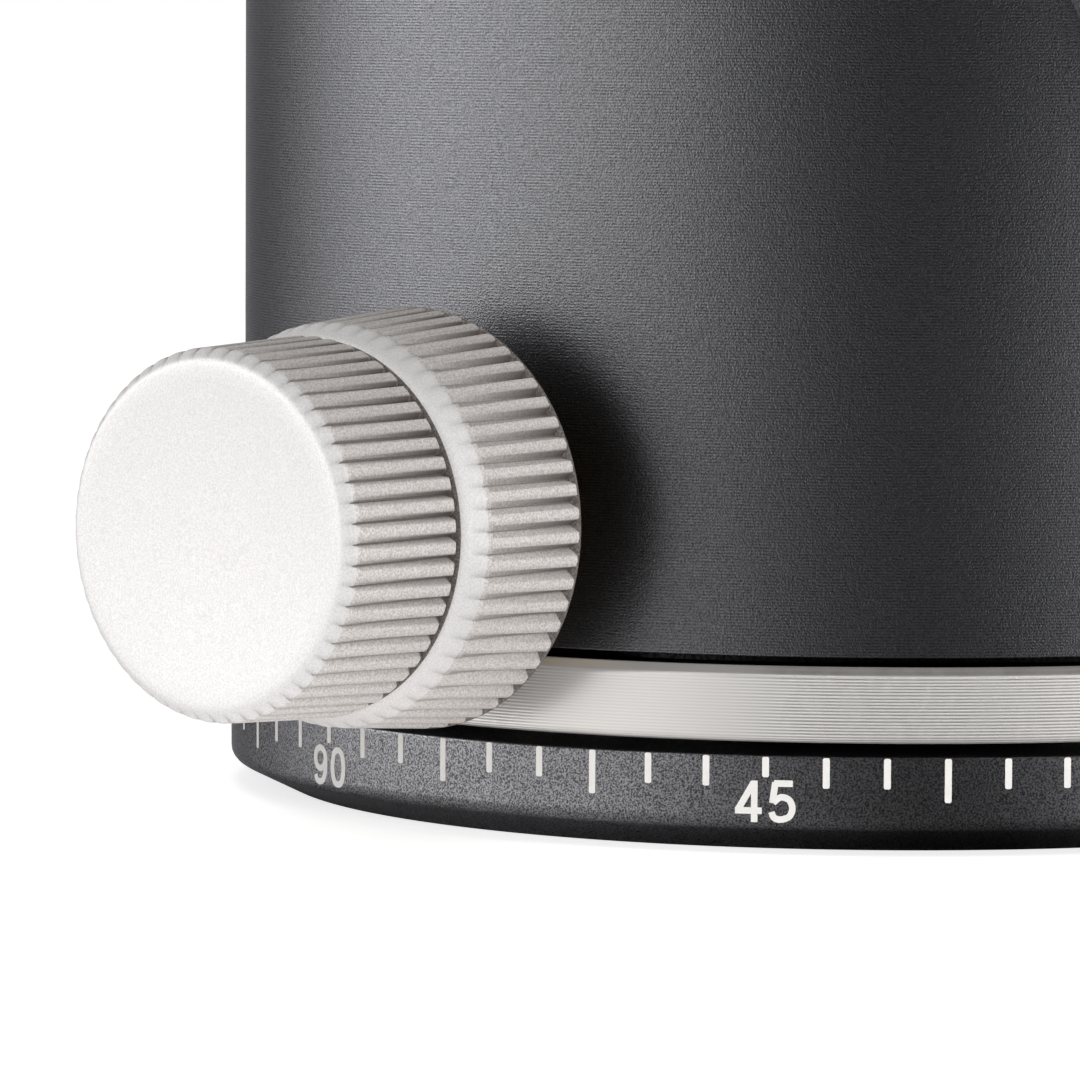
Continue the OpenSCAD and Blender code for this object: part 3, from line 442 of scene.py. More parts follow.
def marks_tree() -> ShapeTree:
    """Makes the tree that lays round-ended marks round a cylinder's wall.

    Returns:
        The tree. Marks stand upright with their upper ends level, and every mark whose place is
        a multiple of Skip is left out.
    """
    marks = ShapeTree("scale_marks", {
        "Count": 72, "Skip": 3, "First": 0.0, "Radius": 30.0, "Top": 4.3, "Length": 1.3, "Width": 0.3,
        "Paint": 0.03,
    })
    given, calc = marks.given, marks.math
    corner_share, weld = 0.28, 0.001
    outline = marks.node("GeometryNodeCurvePrimitiveQuadrilateral", {
        "Width": given["Length"], "Height": given["Width"],
    })
    ends = marks.node("GeometryNodeFilletCurve", {
        "Curve": outline, "Radius": calc("MULTIPLY", given["Width"], corner_share), "Count": 4,
    }, mode="POLY")
    face = marks.node("GeometryNodeFillCurve", {"Curve": ends}, mode="NGONS")
    film = marks.node("GeometryNodeExtrudeMesh", {"Mesh": face, "Offset Scale": given["Paint"]})
    back = marks.node("GeometryNodeFlipFaces", {"Mesh": face})
    mark = marks.node("GeometryNodeJoinGeometry")
    for part in (film, back):
        marks.tree.links.new(part.outputs[0], mark.inputs[0])
    sealed = marks.node("GeometryNodeMergeByDistance", {"Geometry": mark, "Distance": weld})
    circle = marks.node("GeometryNodeMeshCircle", {
        "Vertices": given["Count"], "Radius": calc("SUBTRACT", given["Radius"], given["Paint"]),
    })
    index = marks.node("GeometryNodeInputIndex")
    kept = calc("GREATER_THAN", calc("MODULO", calc("ADD", index, 1.0), given["Skip"]), 0.5)
    turn = calc("MULTIPLY", index, calc("DIVIDE", math.tau, given["Count"]))
    facing = marks.node("ShaderNodeCombineXYZ", {0: 0.0, 1: math.pi / 2, 2: turn})
    laid = marks.node("GeometryNodeInstanceOnPoints", {
        "Points": circle, "Selection": kept, "Instance": sealed, "Rotation": facing,
    })
    height = calc("SUBTRACT", given["Top"], calc("MULTIPLY", given["Length"], 0.5))
    marks.close(marks.node("GeometryNodeTransform", {
        "Geometry": laid,
        "Translation": marks.node("ShaderNodeCombineXYZ", {2: height}),
        "Rotation": marks.node("ShaderNodeCombineXYZ", {2: given["First"]}),
    }))
    return marks


# ---------- finishes ----------

# Tool lines: noise for each line that makes them drift or break off, the drift in radians, and
# how far a whole line swings
DRIFT_NOISE, BREAK_NOISE, DRIFT, SWING = 0.4, 0.16, 3.0, 0.13
# Round the angle where they fade, as painted light standing in for a highlight that washes them out: angles
# up to which they are faint and from which they are whole, and how much a faint one keeps
FAINT_TO, WHOLE_FROM, FAINT = math.radians(5), math.radians(14), 0.15
# Noise between which a line goes from broken off to whole
BREAK_SPAN = (0.38, 0.62)
# Share of the grit in a surface with lines and grit. How far off 0.5 its height gives the full
# colour or shade at a mottle of 1, and the heights between which its roughness changes
GRIT_SHARE, TONE_SPREAD, ROUGH_SPAN = 0.4, 0.12, (0.35, 0.65)


def linear(code: str) -> tuple[float, float, float, float]:
    """Turns an sRGB hex colour into the linear colour that a node takes.

    Args:
        code: six hex digits.

    Returns:
        Red, green, blue and alpha.
    """
    parts = [int(code[i : i + 2], 16) / 255 for i in (0, 2, 4)]
    red, green, blue = (c / 12.92 if c <= 0.04045 else ((c + 0.055) / 1.055) ** 2.4 for c in parts)
    return red, green, blue, 1.0


def new_material(name: str) -> tuple[bpy.types.Material, Tree]:
    """Starts a material.

    Args:
        name: name of the material.

    Returns:
        The material and its empty tree.
    """
    made = bpy.data.materials.new(name)
    made.use_nodes = True
    return made, Tree(made.node_tree)


@dataclass(frozen=True)
class Finish:
    """A surface finish, made into a material when it is first used.

    Attributes:
        name: name of the finish.
        slot: the record's material slot that the finish belongs to; not used.
        colour: main colour, sRGB hex.
        shade: colour of its darker grains, sRGB hex.
        metallic: 1 for bare metal, 0 for paint and plastic.
        roughness: mean roughness.
    """

    name: str
    slot: str
    colour: str
    shade: str
    metallic: float
    roughness: float

    def material(self) -> bpy.types.Material:
        """Returns the finish's material."""
        if self.name not in MADE:
            MADE[self.name], tree = new_material(self.name)
            spot = tree.node("ShaderNodeMapping", {
                "Vector": tree.node("ShaderNodeTexCoord").outputs["Object"], "Scale": (MM, MM, MM),
            }, vector_type="TEXTURE")
            plain = {"Metallic": self.metallic, "Roughness": self.roughness}
            shader = tree.node("ShaderNodeBsdfPrincipled", plain | self.detail(tree, spot))
            tree.node("ShaderNodeOutputMaterial", {"Surface": shader})
        return MADE[self.name]

    def tone(self, tree: Tree, share: object) -> bpy.types.NodeSocket:
        """Adds the finish's colour, from its shade at 0 to its main colour at 1."""
        return tree.blend(share, linear(self.shade), linear(self.colour))

    def detail(self, tree: Tree, spot: bpy.types.Node) -> dict[str, object]:
        """Adds the grain that every finish has: fine spots of its darker colour.

        Args:
            tree: the material's tree.
            spot: the point, in mm.

        Returns:
            What feeds the shader's inputs.
        """
        return {"Base Color": self.tone(tree, tree.noise(spot, scale=3.0, detail=4.0))}


@dataclass(frozen=True)
class WorkedMetal(Finish):
    """Metal that shows how it was worked: tool lines from the lathe, grit from blasting, or both.

    Attributes:
        line: distance between tool lines, in mm; 0 for none.
        line_depth: depth of the tool lines, in mm.
        grit: size of the blasting's pits, in mm; 0 for none.
        grit_depth: depth of the pits, in mm.
        mottle: how much the colour changes from grain to grain, 0 to 1.
        rough_spread: how much the roughness changes from grain to grain.
        brushed: anisotropy of the turned surface.
        broken: how much of a tool line is left where it breaks off.
        edge_tint: tint of what it reflects at a low angle, sRGB hex.
        worn: angle about the axis round which the tool lines fade: painted light for a highlight that washes
            them out, in degrees.
    """

    line: float = 0.0
    line_depth: float = 0.0
    grit: float = 0.0
    grit_depth: float = 0.0
    mottle: float = 0.8
    rough_spread: float = 0.06
    brushed: float = 0.0
    broken: float = 0.3
    edge_tint: str = "ffffff"
    worn: float | None = None

    def lines(self, tree: Tree, spot: bpy.types.Node) -> bpy.types.Node:
        """Adds the tool lines, which run round the axis on walls and faces alike and break off.

        Args:
            tree: the material's tree.
            spot: the point, in mm.

        Returns:
            The node that gives their height, about 0.5.
        """
        across = tree.node("ShaderNodeVectorMath", {0: spot, 1: (1.0, 1.0, 0.0)}, operation="MULTIPLY")
        radius = tree.measure("LENGTH", across)
        height = tree.node("ShaderNodeSeparateXYZ", {0: spot}).outputs[2]
        along = tree.node("ShaderNodeCombineXYZ", {0: radius, 2: height})
        uneven = tree.noise(along, DRIFT_NOISE / self.line, detail=1.0)
        phase = tree.math("MULTIPLY", tree.math("ADD", radius, height), math.tau / self.line)
        wave = tree.math("SINE", tree.math("MULTIPLY_ADD", uneven, DRIFT, phase))
        breaks = tree.noise(spot, BREAK_NOISE / self.line, detail=2.0)
        kept = tree.fit(breaks, BREAK_SPAN, (self.broken * SWING, SWING))
        # The lines fade round one angle: painted light standing in for a highlight that washes them out
        if self.worn is not None:
            angle = math.radians(self.worn)
            facing = tree.measure("DOT_PRODUCT", across, (math.cos(angle), math.sin(angle), 0.0))
            share = tree.math("DIVIDE", facing, radius)
            span = (math.cos(WHOLE_FROM), math.cos(FAINT_TO))
            left = tree.fit(share, span, (1.0, FAINT), interpolation_type="SMOOTHSTEP")
            kept = tree.math("MULTIPLY", kept, left)
        return tree.math("MULTIPLY_ADD", wave, kept, 0.5)

    def detail(self, tree: Tree, spot: bpy.types.Node) -> dict[str, object]:
        """Adds tool lines and grit to the colour, the roughness and the relief.

        Args:
            tree: the material's tree.
            spot: the point, in mm.

        Returns:
            What feeds the shader's inputs.
        """
        marks, depths = [], []
        if self.line:
            marks.append(self.lines(tree, spot))
            depths.append(self.line_depth)
        if self.grit:
            marks.append(tree.noise(spot, 1.0 / self.grit, detail=1.0))
            depths.append(self.grit_depth)
        reliefs = [tree.math("MULTIPLY", mark, depth) for mark, depth in zip(marks, depths)]
        relief, mean = reliefs[0], marks[0]
        if len(marks) == 2:
            relief = tree.math("ADD", *reliefs)
            mean = tree.node("ShaderNodeMix", {0: GRIT_SHARE, 2: marks[0], 3: marks[1]})
        spread = TONE_SPREAD / self.mottle
        rough = (self.roughness + self.rough_spread, self.roughness - self.rough_spread)
        return {
            "Base Color": self.tone(tree, tree.fit(mean, (0.5 - spread, 0.5 + spread))),
            "Roughness": tree.fit(mean, ROUGH_SPAN, rough),
            "Normal": tree.node("ShaderNodeBump", {"Height": relief, "Distance": MM, "Strength": 1.0}),
            "Anisotropic": self.brushed,
            "Specular Tint": linear(self.edge_tint),
        }


@dataclass(frozen=True)
class KnurledMetal(WorkedMetal):
    """Worked metal with painted shade in and beside its grooves.

    Attributes:
        grime: colour painted as shade on one wall of each groove and beside it, sRGB hex.
        kept: name of the value that says how much painted shade each point has.
    """

    grime: str = "5a5450"
    kept: str = "painted_wall_shade"

    def detail(self, tree: Tree, spot: bpy.types.Node) -> dict[str, object]:
        """Adds the painted shade over the metal's own colour.

        Args:
            tree: the material's tree.
            spot: the point, in mm.

        Returns:
            What feeds the shader's inputs.
        """
        looks = super().detail(tree, spot)
        share = tree.node("ShaderNodeAttribute", attribute_name=self.kept).outputs["Fac"]
        return looks | {"Base Color": tree.blend(share, looks["Base Color"], linear(self.grime))}


@dataclass(frozen=True)
class Clear(Finish):
    """Clear plastic or liquid with a few fine specks.

    Attributes:
        bend: index of refraction.
        passing: share of the light that passes straight through, 0 to 1.
    """

    bend: float = 1.45
    passing: float = 0.85

    def detail(self, tree: Tree, spot: bpy.types.Node) -> dict[str, object]:
        """Lets light through and adds faint specks.

        Args:
            tree: the material's tree.
            spot: the point, in mm.

        Returns:
            What feeds the shader's inputs.
        """
        return super().detail(tree, spot) | {"IOR": self.bend, "Alpha": 1 - self.passing}


# Black anodised aluminium, turned: an even satin black-grey with fine lines that run round it
TURNED_BLACK = WorkedMetal(
    "turned_black_anodised", "black_anodised", "767679", "464648", 1.0, 0.36, line=0.13, line_depth=0.012,
    grit=0.08, grit_depth=0.022, mottle=0.95, rough_spread=0.04, edge_tint="909090",
)
# The same aluminium milled and blasted: no lines, a close sandy grain
MILLED_BLACK = WorkedMetal(
    "blasted_black_anodised", "black_anodised", "8e8e91", "464648", 1.0, 0.38,
    grit=0.08, grit_depth=0.01, mottle=0.9, rough_spread=0.05, edge_tint="8c8c8c",
)
# Clear anodised aluminium, bead blasted: pale satin silver with a fine grey speckle, and painted shade where
# grooves run out into it
BLASTED_SILVER = KnurledMetal(
    "blasted_silver_anodised", "silver_anodised", "e8e6e5", "dad7d6", 0.25, 0.5, grit=0.08, grit_depth=0.0025,
)
# The same aluminium where the knurling tool has pressed it: duller and coarse in the grain, with painted
# shade on each crest's side beside a groove
KNURLED_SILVER = KnurledMetal(
    "knurled_silver_anodised", "silver_anodised", "ebe6e2", "c8c2be", 0.2, 0.55,
    grit=0.09, grit_depth=0.012, kept="painted_crest_shade",
)
# The same aluminium in dull grey as painted shade, in a knob's bore, at its back and in the gap between two
# knobs
SHADE_PAINTED_SILVER = WorkedMetal(
    "shade_painted_silver_anodised", "silver_anodised", "8e8782", "625b57", 0.2, 0.6, grit=0.09, grit_depth=0.012,
)
# Bright turned aluminium: silver with close lines that stretch the highlights up and down. Its lines fade
# round one angle, as painted light standing in for a highlight that washes them out
TURNED_SILVER = WorkedMetal(
    "bright_turned_aluminium", "turned_silver", "fffdfa", "9a9591", 0.52, 0.3,
    line=0.14, line_depth=0.014, mottle=0.9, rough_spread=0.04, brushed=0.5, broken=0.75, worn=-162.9,
)
# Hard anodised ball, lapped smooth: deep black-grey with tight reflections
LAPPED_BALL = WorkedMetal(
    "hard_anodised_ball", "ball_anodised", "3a3a3e", "2e2e31", 1.0, 0.22,
    line=0.2, line_depth=0.0006, grit=0.1, grit_depth=0.0006, mottle=0.4, rough_spread=0.03,
)
# Stainless steel, turned: bright neutral grey with clear tool lines
STAINLESS = WorkedMetal(
    "turned_stainless", "stainless_steel", "c4c3c0", "9d9c99", 1.0, 0.28,
    line=0.15, line_depth=0.003, mottle=0.7,
)
# Steel with a black oxide skin: brown-black, slightly oily
BLACK_STEEL = WorkedMetal(
    "black_oxide_steel", "black_steel", "2a2a2b", "191817", 1.0, 0.38, grit=0.2, grit_depth=0.002,
)
# Drawn spring wire: grey steel with a dull shine
SPRING_STEEL = WorkedMetal(
    "drawn_spring_steel", "spring_steel", "8e8d8b", "6b6a68", 1.0, 0.35,
    grit=0.15, grit_depth=0.002, mottle=0.6, rough_spread=0.05,
)
# Turned brass: warm yellow with tool lines
BRASS = WorkedMetal(
    "turned_brass", "brass", "d2b06a", "a98544", 1.0, 0.3, line=0.15, line_depth=0.003, mottle=0.7,
)
# Natural acetal, machined: milky white, waxy
ACETAL = Finish("machined_acetal", "acetal", "ebe8df", "dcd8cc", 0.0, 0.42)
# Baked enamel in the engraved marks: flat white
WHITE_ENAMEL = Finish("white_enamel", "black_anodised", "f0eeeb", "e0ddd9", 0.0, 0.55)
# Spirit level fluid, tinted yellow-green
LEVEL_FLUID = Clear("level_spirit", "level_fluid", "c8dc3c", "b4cb2c", 0.0, 0.1, bend=1.36, passing=0.2)
# Acrylic lens: clear with a faint haze
LEVEL_LENS = Clear("acrylic_lens", "level_glass", "f6f9f8", "e9efee", 0.0, 0.04, bend=1.49)


# ---------- numbers ----------

# Middle lines of each digit's strokes, in heights of a number
DIGIT_W, DIGIT_GAP, DIGIT_PEN = 0.66, 0.13, 0.155
DIGITS: dict[str, list[Profile]] = {
    "0": [[(0.33, 0.92), (0.16, 0.83), (0.09, 0.5), (0.16, 0.17), (0.33, 0.08), (0.5, 0.17), (0.57, 0.5),
           (0.5, 0.83), (0.33, 0.92)]],
    "1": [[(0.4, 0.0), (0.4, 1.0)], [(0.4, 0.93), (0.28, 0.8), (0.12, 0.74)]],
    "2": [[(0.09, 0.68), (0.14, 0.84), (0.32, 0.92), (0.51, 0.84), (0.55, 0.68), (0.44, 0.48), (0.22, 0.28),
           (0.1, 0.08)], [(0.05, 0.075), (0.61, 0.075)]],
    "3": [[(0.1, 0.74), (0.16, 0.87), (0.32, 0.92), (0.5, 0.84), (0.5, 0.64), (0.28, 0.54)],
          [(0.28, 0.54), (0.5, 0.48), (0.57, 0.3), (0.48, 0.13), (0.31, 0.08), (0.15, 0.13), (0.08, 0.28)]],
    "4": [[(0.46, 0.0), (0.46, 0.98)], [(0.44, 0.93), (0.08, 0.3)], [(0.0, 0.27), (0.64, 0.27)]],
    "5": [[(0.14, 0.925), (0.58, 0.925)], [(0.17, 0.95), (0.1, 0.46)],
          [(0.12, 0.47), (0.3, 0.6), (0.5, 0.54), (0.575, 0.34), (0.5, 0.15), (0.3, 0.075), (0.14, 0.12),
           (0.08, 0.25)]],
    "7": [[(0.04, 0.925), (0.62, 0.925)], [(0.56, 0.9), (0.4, 0.6), (0.28, 0.3), (0.24, 0.0)]],
    "8": [[(0.33, 0.92), (0.17, 0.86), (0.13, 0.73), (0.2, 0.59), (0.33, 0.54), (0.46, 0.59), (0.53, 0.73),
           (0.49, 0.86), (0.33, 0.92)],
          [(0.33, 0.54), (0.15, 0.46), (0.09, 0.3), (0.16, 0.14), (0.33, 0.08), (0.5, 0.14), (0.57, 0.3),
           (0.51, 0.46), (0.33, 0.54)]],
    "9": [[(0.33, 0.92), (0.15, 0.84), (0.09, 0.67), (0.15, 0.49), (0.32, 0.41), (0.48, 0.48), (0.56, 0.66),
           (0.5, 0.84), (0.33, 0.92)],
          [(0.565, 0.66), (0.55, 0.36), (0.46, 0.15), (0.3, 0.08), (0.16, 0.12), (0.1, 0.24)]],
}


def smooth_path(points: Profile, steps: int = 5) -> Profile:
    """Draws a smooth line through the points of a stroke.

    Args:
        points: points of the stroke.
        steps: pieces between two points.

    Returns:
        The points of the smooth line.
    """
    if len(points) == 2:
        return points
    loop = points[0] == points[-1]
    before = points[-2] if loop else points[0]
    after = points[1] if loop else points[-1]
    full = [Vector(p) for p in (before, *points, after)]
    line: Profile = []
    for a, b, c, d in zip(full, full[1:], full[2:], full[3:]):
        bend, turn = 2 * a - 5 * b + 4 * c - d, 3 * b - a - 3 * c + d
        for t in (k / steps for k in range(steps)):
            line.append(tuple((2 * b + (c - a) * t + bend * t**2 + turn * t**3) / 2))
    return [*line, points[-1]]


def band_sides(path: Profile, half: float) -> tuple[Profile, Profile]:
    """Gives the two sides of a band of even width along a path.

    Args:
        path: the band's middle line.
        half: half its width.

    Returns:
        The left and the right side.
    """
    left, right = [], []
    closed = len(path) > 2 and (Vector(path[0]) - Vector(path[-1])).length < TINY
    for i, point in enumerate(path):
        before = path[-2] if closed and i == 0 else path[max(i - 1, 0)]
        after = path[1] if closed and i == len(path) - 1 else path[min(i + 1, len(path) - 1)]
        along = (Vector(after) - Vector(before)).normalized() * half
        left.append((point[0] - along.y, point[1] + along.x))
        right.append((point[0] + along.y, point[1] - along.x))
    return left, right


# ---------- sub-assemblies ----------


def settle(
    piece: bpy.types.Object,
    axis: Axis,
    body: str,
    finish: Finish,
    stands_for: Sequence[str] = (),
    sharp: float | None = SHARP,
) -> None:
    """Takes a piece off the lathe, puts it in its place and dresses it.

    Args:
        piece: piece in mm, on the lathe.
        axis: axis that it belongs on.
        body: body that it moves with.
        finish: its finish.
        stands_for: parts of the frame that it is shown in place of.
        sharp: angle from which an edge is drawn sharp, in radians; None where that is done.
    """
    mesh = piece.data
    mesh.transform(Matrix.Scale(MM, 4) @ axis.place())
    if sharp is not None:
        mesh.shade_smooth()
        mesh.set_sharp_from_angle(angle=sharp)
    mesh.materials.clear()
    mesh.materials.append(finish.material())
    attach(piece, body)
    if stands_for:
        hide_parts(*stands_for)
    mesh.calc_loop_triangles()
    LOG.info("%s on %s: %d triangles", piece.name, body, len(mesh.loop_triangles))


class Coat(Enum):
    """Which of a knob's three finishes a face has."""

    SMOOTH = 0
    CRESTS = 1
    # Faces in a knob's bore, at its back and in the gap behind a front knob: painted shade
    HIDDEN = 2


@dataclass
class Grip:
    """A knurled aluminium knob: straight V grooves round a band that narrows to the front.

    Attributes:
        name: name of the piece.
        node: part of the frame that it is shown in place of.
        body: body that it moves with.
        axis: axis that it turns about.
        back, length: where it starts along the axis, and how long it is.
        back_r, front_r: radii of the band at its two ends.
        grooves: how many grooves there are.
        bore_r, bore_end: radius of its bore, and where the bore ends.
        bevel, bevel_len: width and length of the bevel round a face, for a front knob.
        dish: depth of the face's dish as a share of its radius, for a front knob.
        shoulder, drop: length and fall of the smooth shoulder, for a rear knob.
        through_r: radius of the hole right through a rear knob.
        depth, share: depth of a groove, and its share of the pitch.
        edge: bevel at the back.
        phase: turn of the grooves, as a share of the pitch.
        collar: width of the smooth collar that closes the grooves at the back.
        step: longest step between two points where grooves run out, in mm.
        margin: how far these points reach past the grooves.
        near: how close a face is to a wall that it belongs to.
        deepest: how far inside the band its innermost grooved face lies.
    """

    name: str
    node: str
    body: str
    axis: Axis
    back: float
    length: float
    back_r: float
    front_r: float
    grooves: int
    bore_r: float
    bore_end: float
    bevel: float = 0.0
    bevel_len: float = 0.0
    dish: float = 0.0
    shoulder: float = 0.0
    drop: float = 0.0
    through_r: float = 0.0
    depth: float = 0.33
    share: float = 0.36
    edge: float = 0.14
    phase: float = 0.0
    collar: float = 0.0
    step: float = 0.06
    margin: float = 0.1
    near: float = 0.02
    deepest: float = 1.5

    @property
    def front(self) -> float:
        """Returns where the knob ends along the axis."""
        return self.back + self.length

    @property
    def root(self) -> float:
        """Returns the radius of the grooves' ground."""
        return (self.back_r + self.front_r) / 2 - self.depth

    def angles(self) -> list[float]:
        """Returns the angles of the mesh, close together where a groove runs."""
        half = self.share / 2
        steps = [0.0, half / 3, half * 2 / 3, half, half + 0.03, half + 0.1, 0.5]
        steps += [1 - step for step in reversed(steps[1:-1])]
        return [math.tau * (i + step) / self.grooves for i in range(self.grooves) for step in steps]

    def face(self) -> Profile:
        """Returns the front of a front knob, from the band to the middle of its dish."""
        face_r = self.front_r - self.bevel
        dish_r = face_r - self.bevel
        sink = self.dish * dish_r
        ball = (dish_r**2 + sink**2) / (2 * sink)
        rim = soften([
            (self.front_r, self.front - self.bevel_len - 1.0, 0.0),
            (self.front_r, self.front - self.bevel_len, 0.2), (face_r, self.front, 0.35),
            (dish_r, self.front, 0.35),
        ], closed=False, steps=6)[3:]
        bowl, count = [], 14
        for k in range(1, count + 1):
            radius = dish_r * (1 - k / count)
            bowl.append((radius, self.front + ball - sink - math.sqrt(ball**2 - radius**2)))
        return self.dense(rim, face_r - self.margin) + bowl

    def dense(self, profile: Profile, least: float) -> Profile:
        """Adds points to a profile where grooves run out of it.

        Args:
            profile: profile to add to.
            least: radius from which points are added.

        Returns:
            The profile with its added points.
        """
        full = [profile[0]]
        for low, high in zip(profile, profile[1:]):
            a, b = Vector(low), Vector(high)
            count = math.ceil((b - a).length / self.step)
            between = [a.lerp(b, k / count) for k in range(1, count)]
            full += [tuple(point) for point in between if point.x > least] + [high]
        return full

    def profile(self) -> Profile:
        """Returns the knob's profile, from the back of its bore round to the front."""
        back, edge, edge_r = self.back, self.edge, self.back_r
        tail = soften([
            (self.bore_r, back, 0.0), (edge_r - edge, back, 0.06), (edge_r, back + edge, 0.1),
            (edge_r, back + edge + 1.0, 0.0),
        ], closed=False, steps=3)[:-3]
        tail = self.dense(tail, self.root - self.margin)
        if self.collar:
            tail += [(edge_r, back + edge + self.collar + side) for side in (-0.01, 0.01)]
        if self.shoulder:
            band_end = self.front - self.shoulder
            head = soften([
                (self.front_r, band_end - 1.0, 0.0), (self.front_r, band_end, 0.25),
                (self.front_r - self.drop, self.front, 0.3), (self.through_r, self.front, 0.0),
            ], closed=False, steps=6)[3:]
            inside = [(self.through_r, self.bore_end), (self.bore_r, self.bore_end)]
            return tail + self.dense(head, self.root - self.margin) + inside
        return [(0.0, self.bore_end), (self.bore_r, self.bore_end)] + tail + self.face()

    def coat(self, height: float, radius: float) -> Coat:
        """Says which finish a face of the knob has.

        Args:
            height: height of the face along the axis.
            radius: its distance from the axis before the grooves are cut.

        Returns:
            The finish.
        """
        # Faces in the bore, at the back and, on a rear knob, behind the front knob take the painted shade
        behind = self.shoulder and height > self.front - self.near
        if behind or height < self.back + self.edge + self.collar or radius < self.bore_r + self.near / 2:
            return Coat.SMOOTH if height > self.bore_end and not self.shoulder else Coat.HIDDEN
        on_band = height < self.front - (self.shoulder or self.bevel_len)
        return Coat.CRESTS if on_band and radius > self.front_r - self.deepest else Coat.SMOOTH

    def build(self, knurl: ShapeTree, coats: dict[Coat, Finish]) -> None:
        """Turns the knob, cuts its grooves and puts it in its place.

        Args:
            knurl: tree that cuts the grooves.
            coats: the three finishes.
        """
        piece = lathe(self.name, self.profile(), self.angles(), closed=bool(self.shoulder))
        turned = [face.center.xy.length for face in piece.data.polygons]
        start = self.back + self.edge + self.collar if self.collar else self.back - 1.0
        knurl.shape(
            piece, coats[Coat.SMOOTH].material(), Grooves=self.grooves, Depth=self.depth, Share=self.share,
            Root_radius=self.root, Start=start,
        )
        dress = [self.coat(face.center.z, radius).value for radius, face in zip(turned, piece.data.polygons)]
        piece.data.transform(Matrix.Rotation(math.tau * self.phase / self.grooves, 4, "Z"))
        settle(piece, self.axis, self.body, coats[Coat.SMOOTH], [self.node], GRIP_SHARP)
        for coat in (Coat.CRESTS, Coat.HIDDEN):
            piece.data.materials.append(coats[coat].material())
        piece.data.polygons.foreach_set("material_index", dress)


